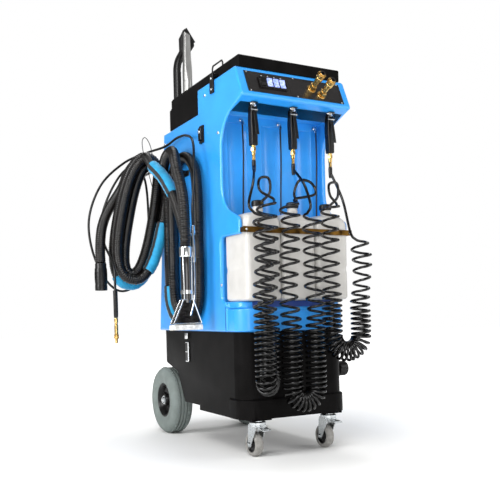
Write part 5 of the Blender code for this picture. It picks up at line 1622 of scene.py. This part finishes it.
class MakeTools(bpy.types.Operator):
    """Make the hand tools: the hanging upholstery tool and the two tools stood on the shelf."""
    bl_idname = "extractor.tools"
    bl_label = "Hand tools"

    def execute(self, context):
        self.make_upholstery_tool()
        self.make_crevice_tool()
        self.make_detail_tool()
        hooks = node_shape("hose_hooks")
        round_edges(hooks, 0.0008, 1, 0.8)
        put("hose_pegs", NYLON, hooks, nodes=("hose_hooks",), smooth=50)
        return {"FINISHED"}

    def make_upholstery_tool(self):
        x, y = -0.306, -0.14
        barrel = lathe([(0.0, 0.657), (0.0175, 0.656), (0.0178, 0.53), (0.0165, 0.505), (0.0, 0.504)], 36,
                       moved(x, y, 0.0))
        put("tool_barrel_tube", SMOKED, barrel)
        collar = lathe([(0.0165, 0.69), (0.0205, 0.689), (0.0215, 0.686), (0.0215, 0.66), (0.02, 0.656),
                        (0.0165, 0.656)], 36, moved(x, y, 0.0))
        lower = lathe([(0.015, 0.548), (0.0196, 0.546), (0.0196, 0.534), (0.015, 0.532)], 36,
                      moved(x, y, 0.0))
        rods = [tube([at(x + side * 0.015, y - 0.0125, 0.655), at(x + side * 0.0135, y - 0.0125, 0.515)],
                     0.0026, 10) for side in (-1, 1)]
        valve = lathe([(0.0, 0.76), (0.005, 0.76), (0.006, 0.758), (0.006, 0.746), (0.0072, 0.744),
                       (0.0072, 0.734), (0.0052, 0.732), (0.0052, 0.69), (0.006, 0.688), (0.006, 0.64),
                       (0.0, 0.64)], 20, moved(x + 0.027, y - 0.004, 0.0))
        line = tube(smooth_route([at(x + 0.027, y - 0.004, 0.645), at(x + 0.027, y - 0.006, 0.6),
                at(x + 0.025, y - 0.008, 0.54), at(x + 0.018, y - 0.014, 0.5),
                at(x + 0.006, y - 0.0165, 0.462)], 0.006), 0.0032, 12)
        clamp = slab(at(x + 0.01, y - 0.008, 0.658), at(x + 0.03, y + 0.004, 0.672), 0.0016, 2)
        put("tool_tubes", CHROME, collar, lower, *rods, valve, line, clamp, nodes=("upholstery_tool",))
        lever = tube(smooth_route([at(x + 0.031, y - 0.008, 0.728), at(x + 0.04, y - 0.014, 0.7),
                at(x + 0.038, y - 0.014, 0.655)], 0.005), 0.003, 10, 1.8)
        put("tool_valve_lever", NYLON, lever)
        fan = [(-0.017, 0.516), (0.017, 0.516), (0.047, 0.434), (-0.053, 0.434)]
        head = prism(fan, 0.029, 0.0045, 3, moved(x, y, 0.0) @ FRONT_VIEW)
        put("tool_head_shell", SMOKED, head)
        rim = []
        for face in (-1, 1):
            loop = [at(x + u, y + face * 0.0135, v) for u, v in ((-0.018, 0.514), (0.018, 0.514),
                    (0.0475, 0.436), (-0.0535, 0.436))]
            for a, b in zip(loop, loop[1:] + loop[:1]):
                rim.append(tube([a, b], 0.0022, 10))
        put("tool_head_frame", CHROME, *rim)
        lip = prism([(-0.0595, 0.416), (-0.056, 0.4145), (0.049, 0.4145), (0.0525, 0.416), (0.0525, 0.43),
                     (0.05, 0.4325), (-0.057, 0.4325), (-0.0595, 0.43)], 0.0255, 0.0022, 2,
                    moved(x, y, 0.0) @ FRONT_VIEW)
        put("tool_lip", WHITE, lip)

    def make_crevice_tool(self):
        x, y = -0.089, 0.297
        stem = lathe([(0.0165, 1.405), (0.018, 1.395), (0.019, 1.385), (0.019, 1.245), (0.0215, 1.24),
                      (0.0225, 1.232), (0.0225, 1.2056), (0.019, 1.2054), (0.019, 1.104), (0.0175, 1.1),
                      (0.0155, 1.101), (0.0155, 1.39)], 36, moved(x, y, 0.0))
        bm = bmesh.new()
        rings = []
        for share in [i / 10 for i in range(11)]:
            z = 1.392 + (1.57 - 1.392) * share
            blend = min(1.0, share * 2.2)
            wide = 0.0186 * (1 - blend) + (0.0176 - 0.0052 * share) * blend
            deep = 0.0186 * (1 - blend) + 0.0108 * blend
            ring = []
            for i in range(32):
                u, v = squared(2 * math.pi * i / 32, wide, deep, 2 + 3 * blend)
                tip = max(0.0, share - 0.72) / 0.28
                ring.append(bm.verts.new(at(x + u, y + v, z + tip * (-u) * 0.5 + tip * 0.006)))
            rings.append(ring)
        for lower, upper in zip(rings, rings[1:]):
            strip(bm, lower, upper)
        inner = []
        for vert in rings[-1]:
            centre = at(x, y, vert.co.z)
            inner.append(bm.verts.new(vert.co.lerp(centre, 0.13)))
        deep_ring = [bm.verts.new(v.co + Vector((0.0, 0.0, -0.04))) for v in inner]
        strip(bm, rings[-1], inner)
        strip(bm, inner, deep_ring)
        bm.faces.new(deep_ring)
        bm.faces.new(rings[0][::-1])
        bmesh.ops.recalc_face_normals(bm, faces=bm.faces)
        put("crevice_tube", ALUMINIUM, stem, bm, body="crevice_tool", nodes=("crevice_tool",), smooth=50)
        throat = lathe([(0.0, 0.002), (0.007, 0.002), (0.007, 0.0), (0.0, 0.0)], 24, moved(x, y, 1.53))
        put("crevice_mouth", NYLON, throat, body="crevice_tool")

    def make_detail_tool(self):
        x, y = -0.113, 0.343
        stem = lathe([(0.013, 1.44), (0.016, 1.438), (0.016, 1.3), (0.017, 1.298), (0.017, 1.29),
                      (0.016, 1.288), (0.016, 1.235), (0.0185, 1.23), (0.0195, 1.222), (0.0195, 1.2056),
                      (0.016, 1.2054), (0.016, 1.063), (0.0145, 1.06), (0.012, 1.061)], 32,
                     moved(x, y, 0.0))
        neck = tube(smooth_route([at(x, y, 1.425), at(x, y, 1.45), at(x + 0.008, y, 1.485),
                at(x + 0.03, y, 1.525)], 0.006), 0.0154, 24)
        head = [(x + 0.016, 1.481), (x + 0.028, 1.481), (x + 0.074, 1.549), (x + 0.072, 1.565),
                (x + 0.035, 1.617), (x + 0.014, 1.575)]
        cup = prism(head, 0.0275, 0.005, 3, moved(0.0, y, 0.0) @ FRONT_VIEW)
        lip = tube([at(x + 0.0365, y, 1.615), at(x + 0.0735, y, 1.563)], 0.0058, 14, 1.9)
        put("detail_tube", NYLON, stem, neck, cup, lip, body="detail_tool", nodes=("detail_tool",),
            smooth=50)


class ExtractorPanel(bpy.types.Panel):
    """Lists the settings and the steps in the order in which they are made."""
    bl_idname = "VIEW3D_PT_extractor"
    bl_label = "Hot-water extractor"
    bl_space_type = "VIEW_3D"
    bl_region_type = "UI"
    bl_category = "Extractor"

    def draw(self, context):
        settings = context.scene.extractor
        for group, names in (("shell", ("body_colour", "base_colour", "edge_radius")),
                             ("hose", ("rib_pitch", "rib_depth", "sleeve_colour")),
                             ("coil", ("tube_diameter", "open_pitch", "close_pitch")),
                             ("wheel", ("tyre_colour", "tread_blocks")),
                             ("stage", ("key_power", "floor_colour"))):
            box = self.layout.box()
            for name in names:
                box.prop(getattr(settings, group), name)
        for step in STEPS:
            self.layout.operator(step.bl_idname)


GROUPS = (ShellSettings, HoseSettings, CoilSettings, WheelSettings, StageSettings, ExtractorSettings)
STEPS = (MakeStage, MakeVacuumHose, MakeSolutionHose, MakeCoilHoses, MakeShell, MakeBase, MakeTop,
         MakePanel, MakeJugs, MakeGuns, MakeWheels, MakeCasters, MakeTools)


def register():
    for group in (*GROUPS, *STEPS, ExtractorPanel):
        bpy.utils.register_class(group)
    bpy.types.Scene.extractor = PointerProperty(type=ExtractorSettings)


def unregister():
    del bpy.types.Scene.extractor
    for group in reversed((*GROUPS, *STEPS, ExtractorPanel)):
        bpy.utils.unregister_class(group)


def main():
    register()
    for step in STEPS:
        family, name = step.bl_idname.split(".")
        getattr(getattr(bpy.ops, family), name)()


if __name__ == "__main__":
    main()
